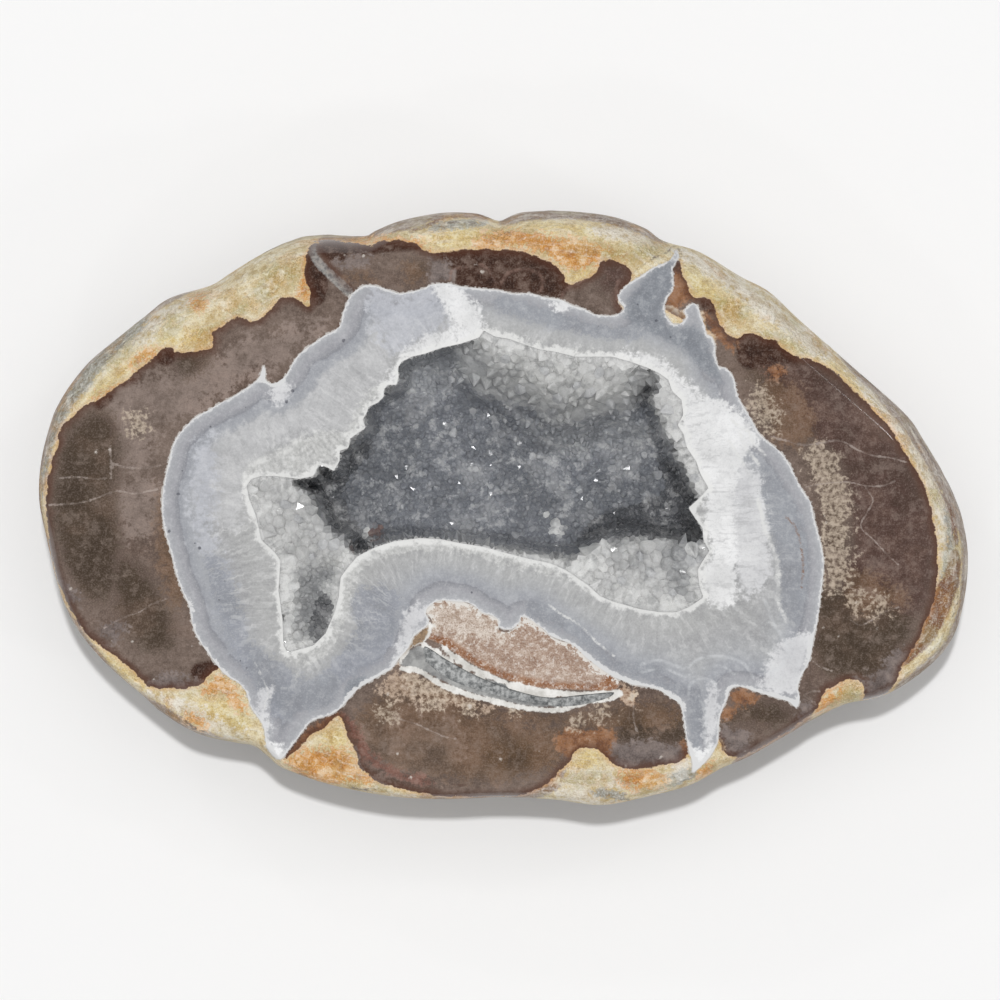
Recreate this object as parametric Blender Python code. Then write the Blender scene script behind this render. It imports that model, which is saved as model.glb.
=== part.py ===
"""Half of a druzy agate nodule, sawn flat, polished and laid on its rounded back.

The nodule is one stone: brown host rock, grey agate and quartz grown together, with a hollow in its sawn
face. One crust of quartz crystals lines the hollow. The outlines on the sawn face are points of the
reference picture, in pixels, and STONE_LENGTH gives them their real size.

World frame: metres, +Z up, the sawn face on top. The origin is on the surface that the stone rests on,
under the middle of its outline. +X is the long way of the stone.
"""

import math
import random

import bmesh
import bpy
import numpy as np
from mathutils import Vector, geometry, noise

# Driving dimensions of the stone, in metres
STONE_LENGTH = 0.100
STONE_HEIGHT = 0.036
FOOT_SHARE = 0.34
SHOULDER_WIDTH = 0.0021
SHOULDER_WIDTH_CHANGE = 0.0013
SHOULDER_DROP = 0.0050
SHOULDER_DROP_CHANGE = 0.0028
WIDEST_SIDE = math.radians(65)
LUMP_HEIGHT = 0.0030
LUMP_SIZE = 0.014
LUMP_DETAIL = 2.3
LUMP_DETAIL_SHARE = 0.4
RING_RISE = 0.0004

# The hollow and its crystal crust, in metres
LIP_DEPTH = 0.0006
SHELF_SLOPE = 0.30
VOID_DEPTH = 0.0088
VOID_EDGE = (-0.0005, 0.0030)
CRUST_THICKNESS = 0.0020
CRUST_GAP = 0.0003
FLOOR_GAP = 0.0006
CRYSTAL_SPACING = 0.00115
CRYSTAL_SHIFT = 0.00016
CRYSTAL_HEIGHTS = (0.0005, 0.0012)
FLOOR_SPACING = 0.0022
SEAM_DEPTH = 0.0012
CUTTER_RISE = 0.0025

# How finely the curves are stepped
OUTLINE_STEPS = 124
SHOULDER_STEPS = 3
SIDE_STEPS = 9
RIM_STEPS = 132
SEAM_STEPS = 36
SMOOTHING_REACH = 5
SEED = 7

# The stone's outline seen square on to the sawn face, clockwise from the left end
OUTLINE_PX = [
    (39, 500), (41, 460), (51, 420), (60, 400), (73, 380), (90, 360), (114, 340), (139, 320), (168, 298),
    (200, 288), (214, 283), (232, 271), (262, 253), (290, 242), (320, 236), (362, 236), (375, 230),
    (400, 220), (440, 212), (472, 212), (485, 215), (499, 220), (511, 215), (525, 211), (565, 210),
    (610, 215), (645, 227), (664, 240), (700, 251), (740, 275), (770, 291), (800, 319), (850, 363),
    (905, 412), (925, 440), (945, 475), (962, 515), (969, 555), (965, 600), (952, 640), (925, 670),
    (885, 695), (845, 704), (815, 717), (795, 730), (750, 756), (722, 768), (690, 785), (645, 797),
    (600, 805), (555, 799), (500, 797), (445, 799), (390, 796), (330, 784), (285, 768), (266, 753),
    (250, 743), (215, 737), (185, 727), (145, 697), (105, 662), (75, 625), (58, 585), (47, 540),
]

# The edge between the polished quartz and the hollow, clockwise from the white quartz tip at the top
RIM_PX = [
    (484, 332), (510, 340), (540, 350), (575, 356), (615, 355), (645, 362), (668, 378), (682, 400),
    (684, 435), (696, 465), (707, 488), (689, 507), (702, 530), (708, 552), (698, 568), (703, 598),
    (676, 613), (640, 610), (612, 601), (588, 586), (565, 569), (530, 559), (485, 548), (440, 540),
    (395, 540), (362, 554), (341, 575), (339, 597), (330, 628), (306, 648), (284, 652), (283, 620),
    (279, 590), (281, 560), (262, 540), (256, 512), (247, 484), (262, 476), (294, 478), (314, 478),
    (320, 464), (336, 470), (341, 450), (352, 438), (366, 427), (364, 414), (382, 400), (386, 386),
    (398, 384), (396, 368), (414, 357), (440, 350), (470, 344),
]

# The deep part of the hollow, inside the crystal shelves round it
VOID_PX = [
    (402, 366), (430, 352), (455, 352), (466, 380), (500, 398), (540, 408), (556, 424), (590, 418),
    (622, 408), (624, 380), (652, 382), (650, 400), (664, 424), (680, 460), (688, 490), (697, 502),
    (690, 514), (700, 538), (660, 530), (625, 530), (598, 541), (566, 553), (500, 545), (440, 539),
    (390, 539), (356, 553), (346, 536), (324, 522), (312, 494), (294, 482), (318, 478), (322, 467),
    (338, 471), (343, 452), (366, 429), (368, 408), (384, 392), (399, 384),
]

# A thin open seam under the small lens of rock, below the hollow
SEAM_PX = [
    (425, 646), (448, 660), (478, 676), (512, 689), (548, 697), (585, 694), (614, 692), (600, 700),
    (565, 706), (525, 701), (485, 692), (450, 679), (428, 662),
]


def clear_scene():
    for obj in list(bpy.data.objects):
        bpy.data.objects.remove(obj, do_unlink=True)


# Outlines


def smooth_curve(points, fine=16):
    """A closed Catmull-Rom curve through the points, as many short steps."""
    p = np.array(points, float)
    before, after, beyond = np.roll(p, 1, 0), np.roll(p, -1, 0), np.roll(p, -2, 0)
    t = (np.arange(fine) / fine)[None, :, None]
    a, b, c, d = (q[:, None, :] for q in (before, p, after, beyond))
    bend = 2 * b + (c - a) * t + (2 * a - 5 * b + 4 * c - d) * t**2 + (3 * b - a - 3 * c + d) * t**3
    return (bend / 2).reshape(-1, 2)


def even_steps(curve, count):
    """The closed curve as so many evenly spaced points."""
    ring = np.vstack([curve, curve[:1]])
    along = np.concatenate([[0], np.cumsum(np.linalg.norm(np.diff(ring, axis=0), axis=1))])
    stops = np.linspace(0, along[-1], count, endpoint=False)
    return np.column_stack([np.interp(stops, along, ring[:, k]) for k in (0, 1)])


def outward_normals(loop):
    """Unit normals of a clockwise loop, pointing out of it."""
    along = np.roll(loop, -1, 0) - np.roll(loop, 1, 0)
    normal = np.column_stack([-along[:, 1], along[:, 0]])
    return normal / np.linalg.norm(normal, axis=1, keepdims=True)


def inside_distance(points, loop):
    """How far each point is inside the loop; below zero outside it."""
    points = np.atleast_2d(points)
    start, end = loop, np.roll(loop, -1, 0)
    side = end - start
    to_point = points[:, None, :] - start[None]
    share = np.clip((to_point * side).sum(2) / (side**2).sum(1), 0, 1)
    gap = np.linalg.norm(to_point - share[:, :, None] * side, axis=2).min(1)
    above = (start[:, 1] > points[:, 1:]) != (end[:, 1] > points[:, 1:])
    with np.errstate(divide="ignore", invalid="ignore"):
        cross_x = start[:, 0] + side[:, 0] * (points[:, 1:] - start[:, 1]) / side[:, 1]
    crossings = (above & (points[:, :1] < cross_x)).sum(1)
    return np.where(crossings % 2 == 1, gap, -gap)


def picture_frame():
    """The picture point over the origin, and the size of one pixel in metres."""
    ring = even_steps(smooth_curve(OUTLINE_PX), OUTLINE_STEPS)
    low, high = ring.min(0), ring.max(0)
    return (low + high) / 2, STONE_LENGTH / (high[0] - low[0])


CENTRE_PX, PIXEL = picture_frame()


def on_face(points_px, count):
    """A traced outline as evenly spaced points on the sawn face, in metres."""
    metres = (smooth_curve(points_px) - CENTRE_PX) * (PIXEL, -PIXEL)
    return even_steps(metres, count)


# Meshes


def mesh_object(name, points, faces):
    mesh = bpy.data.meshes.new(name)
    mesh.from_pydata([tuple(p) for p in points], [], [tuple(f) for f in faces])
    obj = bpy.data.objects.new(name, mesh)
    bpy.context.scene.collection.objects.link(obj)
    bm = bmesh.new()
    bm.from_mesh(mesh)
    bmesh.ops.recalc_face_normals(bm, faces=bm.faces)
    bm.to_mesh(mesh)
    bm.free()
    return obj


def bridge(first, second, count):
    """Quads between two rings of count points that start at the given point numbers."""
    steps = [(k, (k + 1) % count) for k in range(count)]
    return [(first + a, first + b, second + b, second + a) for a, b in steps]


def lattice(loop, spacing, keep_off, rng=None, shift=0.0):
    """Points of a triangular lattice inside the loop, each with True where it is the middle of a hexagon."""
    low, high = loop.min(0), loop.max(0)
    row_height = spacing * math.sqrt(3) / 2
    points, middles = [], []
    for row in range(int((high[1] - low[1]) / row_height) + 1):
        for column in range(int((high[0] - low[0]) / spacing) + 2):
            points.append((low[0] + (column - row % 2 / 2) * spacing, low[1] + row * row_height))
            middles.append((column + row // 2 + row) % 3 == 0)
    points = np.array(points)
    keep = inside_distance(points, loop) > keep_off
    points, middles = points[keep], np.array(middles)[keep]
    if rng:
        points = points + np.array([(rng.uniform(-shift, shift), rng.uniform(-shift, shift)) for _ in points])
    return points, middles


def fill_loop(loop, inner):
    """Triangles over the inside of a loop, through its inner points."""
    count = len(loop)
    flat = [Vector(p) for p in np.vstack([loop, inner])]
    sides = [(k, (k + 1) % count) for k in range(count)]
    _, _, triangles, origins, _, _ = geometry.delaunay_2d_cdt(flat, sides, [], 0, 1e-7)
    number = {new: old[0] for new, old in enumerate(origins) if old}
    triangles = [[number[v] for v in t] for t in triangles]
    points = np.vstack([loop, inner])
    middle = points[np.array(triangles)].mean(1)
    inside = inside_distance(middle, loop) > 0
    return [tuple(t) for t, keep in zip(triangles, inside) if keep]


def slab(name, loop, over, under):
    """A closed solid between two surfaces on one loop. Each is (heights at the loop, inner points, their
    heights)."""
    count = len(loop)
    points, faces = [], []
    for edge_heights, inner, heights in (over, under):
        first = len(points)
        faces += [tuple(first + v for v in t) for t in fill_loop(loop, inner)]
        points += [(*p, z) for p, z in zip(loop, edge_heights)]
        points += [(*p, z) for p, z in zip(inner, heights)]
    faces += bridge(0, count + len(over[1]), count)
    return mesh_object(name, points, faces)


# The nodule


def lump(point):
    """How far the skin stands out at a point, from smooth noise."""
    place = Vector(point) / LUMP_SIZE
    return noise.noise(place) + LUMP_DETAIL_SHARE * noise.noise(place * LUMP_DETAIL)


def nodule():
    """The nodule under its sawn face: a ring where the face ends, rings over the rounded shoulder to the
    widest ring, and rings down the sides to the flat spot that it rests on."""
    outline = on_face(OUTLINE_PX, OUTLINE_STEPS)
    outward = outward_normals(outline)
    calm = sum(np.roll(outline, k, 0) for k in range(-SMOOTHING_REACH, SMOOTHING_REACH + 1))
    calm = calm / (2 * SMOOTHING_REACH + 1)
    toward = np.cos(np.arctan2(outward[:, 1], outward[:, 0]) - WIDEST_SIDE)
    shoulder = SHOULDER_WIDTH + SHOULDER_WIDTH_CHANGE * toward
    drop = SHOULDER_DROP + SHOULDER_DROP_CHANGE * toward

    points = []
    for step in range(SHOULDER_STEPS + 1):
        turn = math.pi / 2 * step / SHOULDER_STEPS
        ring = outline - outward * (shoulder * (1 - math.sin(turn)))[:, None]
        heights = STONE_HEIGHT - drop * (1 - math.cos(turn))
        points += [(*p, z) for p, z in zip(ring, heights)]
    for step in range(1, SIDE_STEPS + 1):
        share = step / SIDE_STEPS
        turn = math.pi / 2 * share
        size = FOOT_SHARE + (1 - FOOT_SHARE) * math.cos(turn)
        ring = (outline * (1 - share) + calm * share) * size
        heights = (STONE_HEIGHT - drop) * (1 - math.sin(turn))
        swell = LUMP_HEIGHT * math.sin(math.pi * share)
        for p, out, z in zip(ring, outward, heights):
            rise = swell * lump((*p, z))
            moved = p + out * rise * math.cos(turn)
            lowest = RING_RISE * (SIDE_STEPS - step)
            points.append((*moved, max(z - rise * math.sin(turn), lowest)))
    rings = SHOULDER_STEPS + SIDE_STEPS + 1
    starts = [k * OUTLINE_STEPS for k in range(rings)]
    faces = [f for a, b in zip(starts, starts[1:]) for f in bridge(a, b, OUTLINE_STEPS)]
    faces.append(tuple(range(OUTLINE_STEPS)))
    faces.append(tuple(range(starts[-1], starts[-1] + OUTLINE_STEPS)))
    return mesh_object("geode_stone", points, faces)


# The hollow


def smooth_step(values, start, end):
    t = np.clip((values - start) / (end - start), 0, 1)
    return t * t * (3 - 2 * t)


def hollow_depth(points, rim, void, spread=0.0):
    """Depth of the crystal floor under the sawn face. With spread, the same floor moved that far into the
    stone, which leaves room for the crust."""
    from_rim = np.maximum(inside_distance(points, rim), 0) + spread
    from_void = inside_distance(points, void) + spread
    shelf = LIP_DEPTH + SHELF_SLOPE * from_rim
    return shelf + VOID_DEPTH * smooth_step(from_void, *VOID_EDGE) + spread


def hollow_cutter(rim, void):
    inner, _ = lattice(rim, FLOOR_SPACING, FLOOR_SPACING / 2)
    above = STONE_HEIGHT + CUTTER_RISE
    top = (np.full(len(rim), above), inner, np.full(len(inner), above))
    floor = [STONE_HEIGHT - hollow_depth(p, rim, void, CRUST_THICKNESS) for p in (rim, inner)]
    return slab("hollow_cutter", rim, top, (floor[0], inner, floor[1]))


def druzy_crust(rim, void):
    """The crust: pointed six-sided crystals over a shell that lies on the hollow's floor."""
    rng = random.Random(SEED)
    edge = rim - outward_normals(rim) * CRUST_GAP
    tips, middles = lattice(edge, CRYSTAL_SPACING, CRYSTAL_SPACING / 2, rng, CRYSTAL_SHIFT)
    heights = STONE_HEIGHT - hollow_depth(tips, rim, void)
    heights += [rng.uniform(*CRYSTAL_HEIGHTS) if middle else 0.0 for middle in middles]
    heights = np.minimum(heights, STONE_HEIGHT - CRUST_GAP)
    edge_top = np.full(len(edge), STONE_HEIGHT - CRUST_GAP)
    inner, _ = lattice(rim, FLOOR_SPACING, FLOOR_SPACING / 2)
    spread = CRUST_THICKNESS - FLOOR_GAP
    floor = [STONE_HEIGHT - hollow_depth(p, rim, void, spread) for p in (edge, inner)]
    return slab("druzy_crust", edge, (edge_top, tips, heights), (floor[0], inner, floor[1]))


def seam_cutter():
    loop = on_face(SEAM_PX, SEAM_STEPS)
    nothing = np.empty((0, 2))
    above = np.full(len(loop), STONE_HEIGHT + CUTTER_RISE)
    below = np.full(len(loop), STONE_HEIGHT - SEAM_DEPTH)
    return slab("seam_cutter", loop, (above, nothing, nothing[:, 0]), (below, nothing, nothing[:, 0]))


def cut(stone, cutter):
    cutter.hide_render = True
    cutter.display_type = "WIRE"
    modifier = stone.modifiers.new(cutter.name, "BOOLEAN")
    modifier.operation = "DIFFERENCE"
    modifier.object = cutter


def finish(obj, colour, roughness):
    material = bpy.data.materials.new(obj.name)
    material.use_nodes = True
    shader = material.node_tree.nodes["Principled BSDF"]
    shader.inputs["Base Color"].default_value = (*colour, 1)
    shader.inputs["Roughness"].default_value = roughness
    obj.data.materials.append(material)


clear_scene()
rim_loop = on_face(RIM_PX, RIM_STEPS)
void_loop = on_face(VOID_PX, RIM_STEPS)
geode_stone = nodule()
finish(geode_stone, (0.21, 0.17, 0.15), 0.25)
cut(geode_stone, hollow_cutter(rim_loop, void_loop))
cut(geode_stone, seam_cutter())
crust = druzy_crust(rim_loop, void_loop)
finish(crust, (0.55, 0.57, 0.60), 0.15)
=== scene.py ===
import math

import bmesh
import bpy
import numpy as np
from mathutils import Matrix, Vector, geometry, kdtree, noise


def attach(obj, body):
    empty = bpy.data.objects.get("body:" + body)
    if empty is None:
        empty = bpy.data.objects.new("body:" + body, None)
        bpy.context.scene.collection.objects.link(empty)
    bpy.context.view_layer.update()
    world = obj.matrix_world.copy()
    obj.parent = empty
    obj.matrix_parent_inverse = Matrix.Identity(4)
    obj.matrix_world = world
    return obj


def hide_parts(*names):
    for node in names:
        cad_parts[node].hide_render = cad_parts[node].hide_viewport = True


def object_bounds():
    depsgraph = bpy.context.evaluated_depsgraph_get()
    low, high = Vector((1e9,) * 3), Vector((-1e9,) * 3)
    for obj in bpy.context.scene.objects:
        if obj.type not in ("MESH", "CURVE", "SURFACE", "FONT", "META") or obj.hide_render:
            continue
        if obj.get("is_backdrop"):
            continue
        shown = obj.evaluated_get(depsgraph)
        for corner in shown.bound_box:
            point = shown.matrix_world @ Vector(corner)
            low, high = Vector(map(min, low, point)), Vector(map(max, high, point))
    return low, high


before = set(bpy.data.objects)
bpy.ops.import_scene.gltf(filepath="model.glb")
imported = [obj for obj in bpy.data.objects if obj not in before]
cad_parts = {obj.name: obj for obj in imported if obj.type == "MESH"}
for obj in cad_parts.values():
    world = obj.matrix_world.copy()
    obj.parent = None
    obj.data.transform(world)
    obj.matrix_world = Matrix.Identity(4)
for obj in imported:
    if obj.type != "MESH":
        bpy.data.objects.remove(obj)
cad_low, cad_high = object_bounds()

# The traced sawn face
# Half of an agate nodule, sawn flat and polished, lies on its back. What the saw laid open was traced
# from the picture, in its pixels. The outline fills the CAD stone's length, which gives a pixel its size.
OUTLINE = [
    (39, 500), (41, 460), (51, 420), (60, 400), (73, 380), (90, 360), (114, 340), (139, 320), (168, 298),
    (200, 288), (214, 283), (232, 271), (262, 253), (290, 242), (320, 236), (362, 236), (375, 230),
    (400, 220), (440, 212), (472, 212), (485, 215), (499, 220), (511, 215), (525, 211), (565, 210),
    (610, 215), (645, 227), (664, 240), (700, 251), (740, 275), (770, 291), (800, 319), (850, 363),
    (905, 412), (925, 440), (945, 475), (962, 515), (969, 555), (965, 600), (952, 640), (925, 670),
    (885, 695), (845, 704), (815, 717), (795, 730), (750, 756), (722, 768), (690, 785), (645, 797),
    (600, 805), (555, 799), (500, 797), (445, 799), (390, 796), (330, 784), (285, 768), (266, 753),
    (250, 743), (215, 737), (185, 727), (145, 697), (105, 662), (75, 625), (58, 585), (47, 540),
]
HOLLOW_EDGE = [
    (484, 331), (479, 338), (461, 344), (442, 348), (425, 354), (412, 357), (402, 362), (398, 368),
    (399, 376), (397, 385), (388, 385), (384, 390), (384, 397), (378, 403), (369, 407), (367, 413),
    (363, 420), (366, 428), (357, 434), (350, 439), (349, 448), (340, 451), (340, 461), (334, 471),
    (327, 467), (319, 465), (314, 476), (300, 479), (292, 478), (275, 476), (262, 476), (252, 479),
    (247, 486), (250, 500), (256, 514), (262, 540), (275, 552), (281, 560), (279, 590), (283, 620),
    (284, 645), (288, 652), (300, 649), (314, 645), (326, 633), (335, 612), (339, 597), (341, 577),
    (350, 565), (358, 556), (376, 547), (395, 541), (420, 538), (440, 539), (460, 543), (485, 547),
    (510, 554), (530, 559), (550, 563), (566, 570), (588, 585), (600, 596), (612, 601), (640, 609),
    (660, 612), (676, 612), (690, 606), (703, 597), (699, 586), (697, 570), (704, 558), (709, 551),
    (703, 540), (702, 528), (694, 517), (688, 508), (699, 498), (708, 488), (700, 474), (696, 462),
    (686, 447), (683, 434), (677, 425), (683, 415), (681, 400), (672, 392), (668, 380), (658, 373),
    (647, 368), (630, 362), (612, 357), (590, 357), (575, 357), (555, 352), (540, 350), (525, 345),
    (508, 339), (495, 337),
]
DEEP_PART = [
    (398, 366), (412, 357), (442, 348), (461, 344), (479, 338), (486, 330), (508, 337), (540, 348),
    (575, 354), (612, 356), (640, 364), (652, 374), (655, 384), (648, 400), (655, 410), (661, 425),
    (664, 437), (674, 447), (670, 455), (682, 468), (688, 486), (698, 501), (690, 512), (700, 528),
    (703, 540), (660, 537), (625, 530), (598, 541), (566, 556), (500, 546), (440, 540), (390, 540),
    (356, 553), (346, 536), (330, 528), (322, 510), (312, 494), (294, 482), (318, 478), (322, 467),
    (338, 471), (343, 452), (366, 429), (368, 408), (384, 392), (399, 384),
]
UPPER_SLOPE = [
    (430, 290), (484, 270), (560, 280), (640, 300), (690, 330), (660, 376), (642, 392), (632, 408),
    (596, 416), (552, 426), (530, 405), (505, 392), (478, 376), (456, 346),
]
SEAM = [
    (425, 646), (448, 660), (478, 676), (512, 689), (548, 697), (585, 694), (614, 692), (600, 700),
    (565, 706), (525, 701), (485, 692), (450, 679), (428, 662),
]
AGATE = [
    (355, 292), (365, 286), (378, 287), (390, 291), (400, 294), (412, 292), (424, 289), (432, 285),
    (448, 284), (460, 287), (480, 289), (500, 291), (512, 294), (530, 294), (545, 298), (560, 300),
    (572, 306), (583, 309), (592, 314), (602, 316), (614, 316), (622, 312), (624, 308), (619, 302),
    (618, 297), (622, 290), (630, 283), (640, 277), (650, 270), (660, 265), (668, 262), (673, 256),
    (676, 250), (679, 256), (676, 262), (672, 270), (673, 280), (672, 290), (667, 298), (664, 306),
    (665, 315), (669, 321), (674, 325), (680, 324), (686, 318), (684, 313), (685, 309), (690, 305),
    (694, 304), (698, 308), (700, 316), (704, 326), (706, 335), (711, 337), (714, 345), (715, 357),
    (718, 367), (724, 368), (730, 373), (734, 381), (736, 392), (740, 402), (748, 415), (754, 426),
    (758, 433), (765, 440), (775, 448), (783, 456), (790, 467), (796, 480), (803, 492), (810, 503),
    (813, 517), (817, 532), (821, 548), (823, 562), (822, 577), (820, 595), (818, 612), (816, 625),
    (813, 637), (811, 650), (808, 662), (801, 675), (797, 687), (799, 697), (796, 707), (788, 701),
    (778, 698), (765, 694), (752, 690), (745, 687), (735, 686), (729, 690), (727, 697), (724, 704),
    (721, 711), (719, 718), (718, 730), (717, 742), (712, 752), (706, 760), (699, 767), (692, 772),
    (692, 762), (689, 752), (687, 742), (685, 730), (683, 718), (681, 707), (678, 702), (670, 697),
    (660, 690), (650, 687), (640, 685), (632, 684), (625, 681), (615, 677), (605, 671), (595, 664),
    (585, 656), (577, 648), (570, 643), (562, 640), (550, 635), (545, 630), (537, 624), (530, 619),
    (522, 616), (519, 622), (513, 628), (505, 629), (499, 626), (498, 619), (492, 615), (482, 612),
    (475, 606), (467, 602), (455, 601), (440, 600), (432, 604), (427, 608), (426, 614), (429, 619),
    (428, 624), (424, 628), (414, 636), (408, 648), (402, 655), (397, 661), (392, 668), (380, 675),
    (370, 681), (360, 687), (352, 695), (345, 703), (338, 710), (328, 715), (318, 718), (310, 722),
    (303, 731), (297, 739), (290, 748), (285, 755), (280, 759), (274, 756), (268, 748), (266, 740),
    (265, 730), (262, 722), (255, 712), (250, 703), (247, 692), (240, 683), (230, 677), (222, 670),
    (215, 661), (207, 650), (200, 640), (195, 630), (192, 618), (190, 606), (185, 595), (180, 583),
    (176, 570), (173, 557), (169, 543), (165, 528), (163, 512), (163, 498), (165, 483), (168, 468),
    (171, 455), (175, 442), (181, 433), (188, 425), (197, 417), (208, 411), (220, 404), (232, 398),
    (243, 391), (252, 385), (259, 379), (262, 372), (264, 366), (266, 372), (266, 380), (272, 384),
    (279, 382), (286, 376), (291, 368), (296, 359), (305, 350), (315, 343), (325, 336), (335, 331),
    (341, 325), (343, 315), (346, 306), (350, 298),
]
MM = 0.001
outline_steps = 620
side_steps = 40


def smooth_curve(points, closed=True, fine=6):
    """A Catmull-Rom curve through the points, as many short steps."""
    p = np.array(points, float)
    if not closed:
        p = np.vstack([2 * p[0] - p[1], p, 2 * p[-1] - p[-2], p[-1]])
    before, after, beyond = np.roll(p, 1, 0), np.roll(p, -1, 0), np.roll(p, -2, 0)
    t = (np.arange(fine) / fine)[None, :, None]
    a, b, c, d = (q[:, None, :] for q in (before, p, after, beyond))
    bend = (2 * b + (c - a) * t + (2 * a - 5 * b + 4 * c - d) * t**2 + (3 * b - a - 3 * c + d) * t**3) / 2
    return bend.reshape(-1, 2) if closed else bend[1:-3].reshape(-1, 2)


def even_steps(curve, count, closed=True):
    ring = np.vstack([curve, curve[:1]]) if closed else curve
    along = np.concatenate([[0], np.cumsum(np.linalg.norm(np.diff(ring, axis=0), axis=1))])
    stops = np.linspace(0, along[-1], count, endpoint=not closed)
    return np.column_stack([np.interp(stops, along, ring[:, k]) for k in (0, 1)])


outline_px = even_steps(smooth_curve(OUTLINE), outline_steps)
PIXEL = (cad_high.x - cad_low.x) / (outline_px[:, 0].max() - outline_px[:, 0].min())
CENTRE = (outline_px.min(0) + outline_px.max(0)) / 2
FACE = cad_high.z


def on_face(points_px, closed=True, step=None):
    """A traced line as points on the sawn face, in metres, evenly spaced where a step is given."""
    curve = (smooth_curve(points_px, closed) - CENTRE) * (PIXEL, -PIXEL)
    if step is None:
        return curve
    length = np.linalg.norm(np.diff(curve, axis=0), axis=1).sum()
    return even_steps(curve, max(int(length / step), 3), closed)


def distance_to(points, curve, closed=True):
    """Each point's distance to a line of short steps, and the number of the line's nearest point."""
    tree = kdtree.KDTree(len(curve))
    for k, (x, y) in enumerate(curve):
        tree.insert((x, y, 0), k)
    tree.balance()
    nearest = np.array([tree.find((x, y, 0))[1] for x, y in points], int).reshape(-1)
    best = np.full(len(points), np.inf)
    for step in (-1, 1):
        other = (nearest + step) % len(curve) if closed else np.clip(nearest + step, 0, len(curve) - 1)
        side = curve[other] - curve[nearest]
        to_point = points - curve[nearest]
        share = np.clip((to_point * side).sum(1) / np.maximum((side**2).sum(1), 1e-16), 0, 1)
        best = np.minimum(best, np.linalg.norm(to_point - share[:, None] * side, axis=1))
    return best, nearest


def inside(points, loop):
    """True where a point is inside a closed line."""
    start, end = loop, np.roll(loop, -1, 0)
    rise = np.where(end[:, 1] == start[:, 1], 1e-12, end[:, 1] - start[:, 1])
    found = []
    for part in np.array_split(points, max(len(points) // 4000, 1)):
        above = (start[:, 1] > part[:, 1:]) != (end[:, 1] > part[:, 1:])
        cross_x = start[:, 0] + (end[:, 0] - start[:, 0]) * (part[:, 1:] - start[:, 1]) / rise
        found.append((above & (part[:, :1] < cross_x)).sum(1) % 2 == 1)
    return np.concatenate(found)


def depth_inside(points, loop):
    """How far each point is inside the loop; below zero outside it."""
    return np.where(inside(points, loop), 1, -1) * distance_to(points, loop)[0]


def lines(points, *drawn, reach=4.0):
    """Distance to the nearest of the traced lines, where 1 is that line's half width in millimetres."""
    best = np.full(len(points), reach)
    for traced, width in drawn:
        line = on_face(traced, closed=False)
        margin = reach * width * MM
        near = np.all((points > line.min(0) - margin) & (points < line.max(0) + margin), 1)
        if near.any():
            best[near] = np.minimum(best[near], distance_to(points[near], line, False)[0] / (width * MM))
    return best


def lattice(loop, spacing, keep_off):
    """Points of a triangular lattice inside a loop."""
    low, high = loop.min(0), loop.max(0)
    row_height = spacing * math.sqrt(3) / 2
    rows = np.arange(int((high[1] - low[1]) / row_height) + 1)
    columns = np.arange(int((high[0] - low[0]) / spacing) + 2)
    grid = np.stack(np.meshgrid(columns, rows), -1).reshape(-1, 2)
    points = low + np.column_stack([(grid[:, 0] - grid[:, 1] % 2 / 2) * spacing, grid[:, 1] * row_height])
    return points[depth_inside(points, loop) > keep_off]


def triangles_over(points, edges):
    """Triangles through all the points that keep the given edges."""
    flat = [Vector(p) for p in points]
    made, _, faces, origins, _, _ = geometry.delaunay_2d_cdt(flat, edges, [], 0, 1e-8)
    if len(made) != len(points):
        print("triangulation moved or added points:", len(points), len(made))
    number = np.array([old[0] if old else -1 for old in origins])
    faces = number[np.array(faces)]
    return faces[(faces >= 0).all(1)]


def loop_edges(first, count, closed=True):
    return [(first + k, first + (k + 1) % count) for k in range(count if closed else count - 1)]


def rings_faces(first, second, count):
    k = np.arange(count)
    after = (k + 1) % count
    return np.column_stack([first + k, first + after, second + after, second + k])


# The stone's body
# The host rock, its ochre rind, the agate and the quartz grew together and are one stone. The sawn face is
# flat and its edge was ground round, more at the top right. The back is the nodule's own lumpy skin.
face_step = 0.29 * MM
shoulder_width, shoulder_width_change = 2.1 * MM, 1.3 * MM
shoulder_drop, shoulder_drop_change = 5.0 * MM, 2.8 * MM
widest_side = math.radians(65)
foot_share = 0.34
lump_height, lump_size = 3.0 * MM, 14 * MM
fine_lump_share, fine_lump_scale = 0.4, 2.3
ring_rise = 0.16 * MM
grit_height, grit_size = 0.22 * MM, 1.9 * MM
lip_depth, shelf_slope = 0.05 * MM, 0.34
void_depth, void_edge, slope_edge = 8.8 * MM, (-0.4 * MM, 1.3 * MM), (-3.5 * MM, 4.0 * MM)
crust_thickness = 2.0 * MM
seam_depth = 1.2 * MM
sharp_angle = 50

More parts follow.
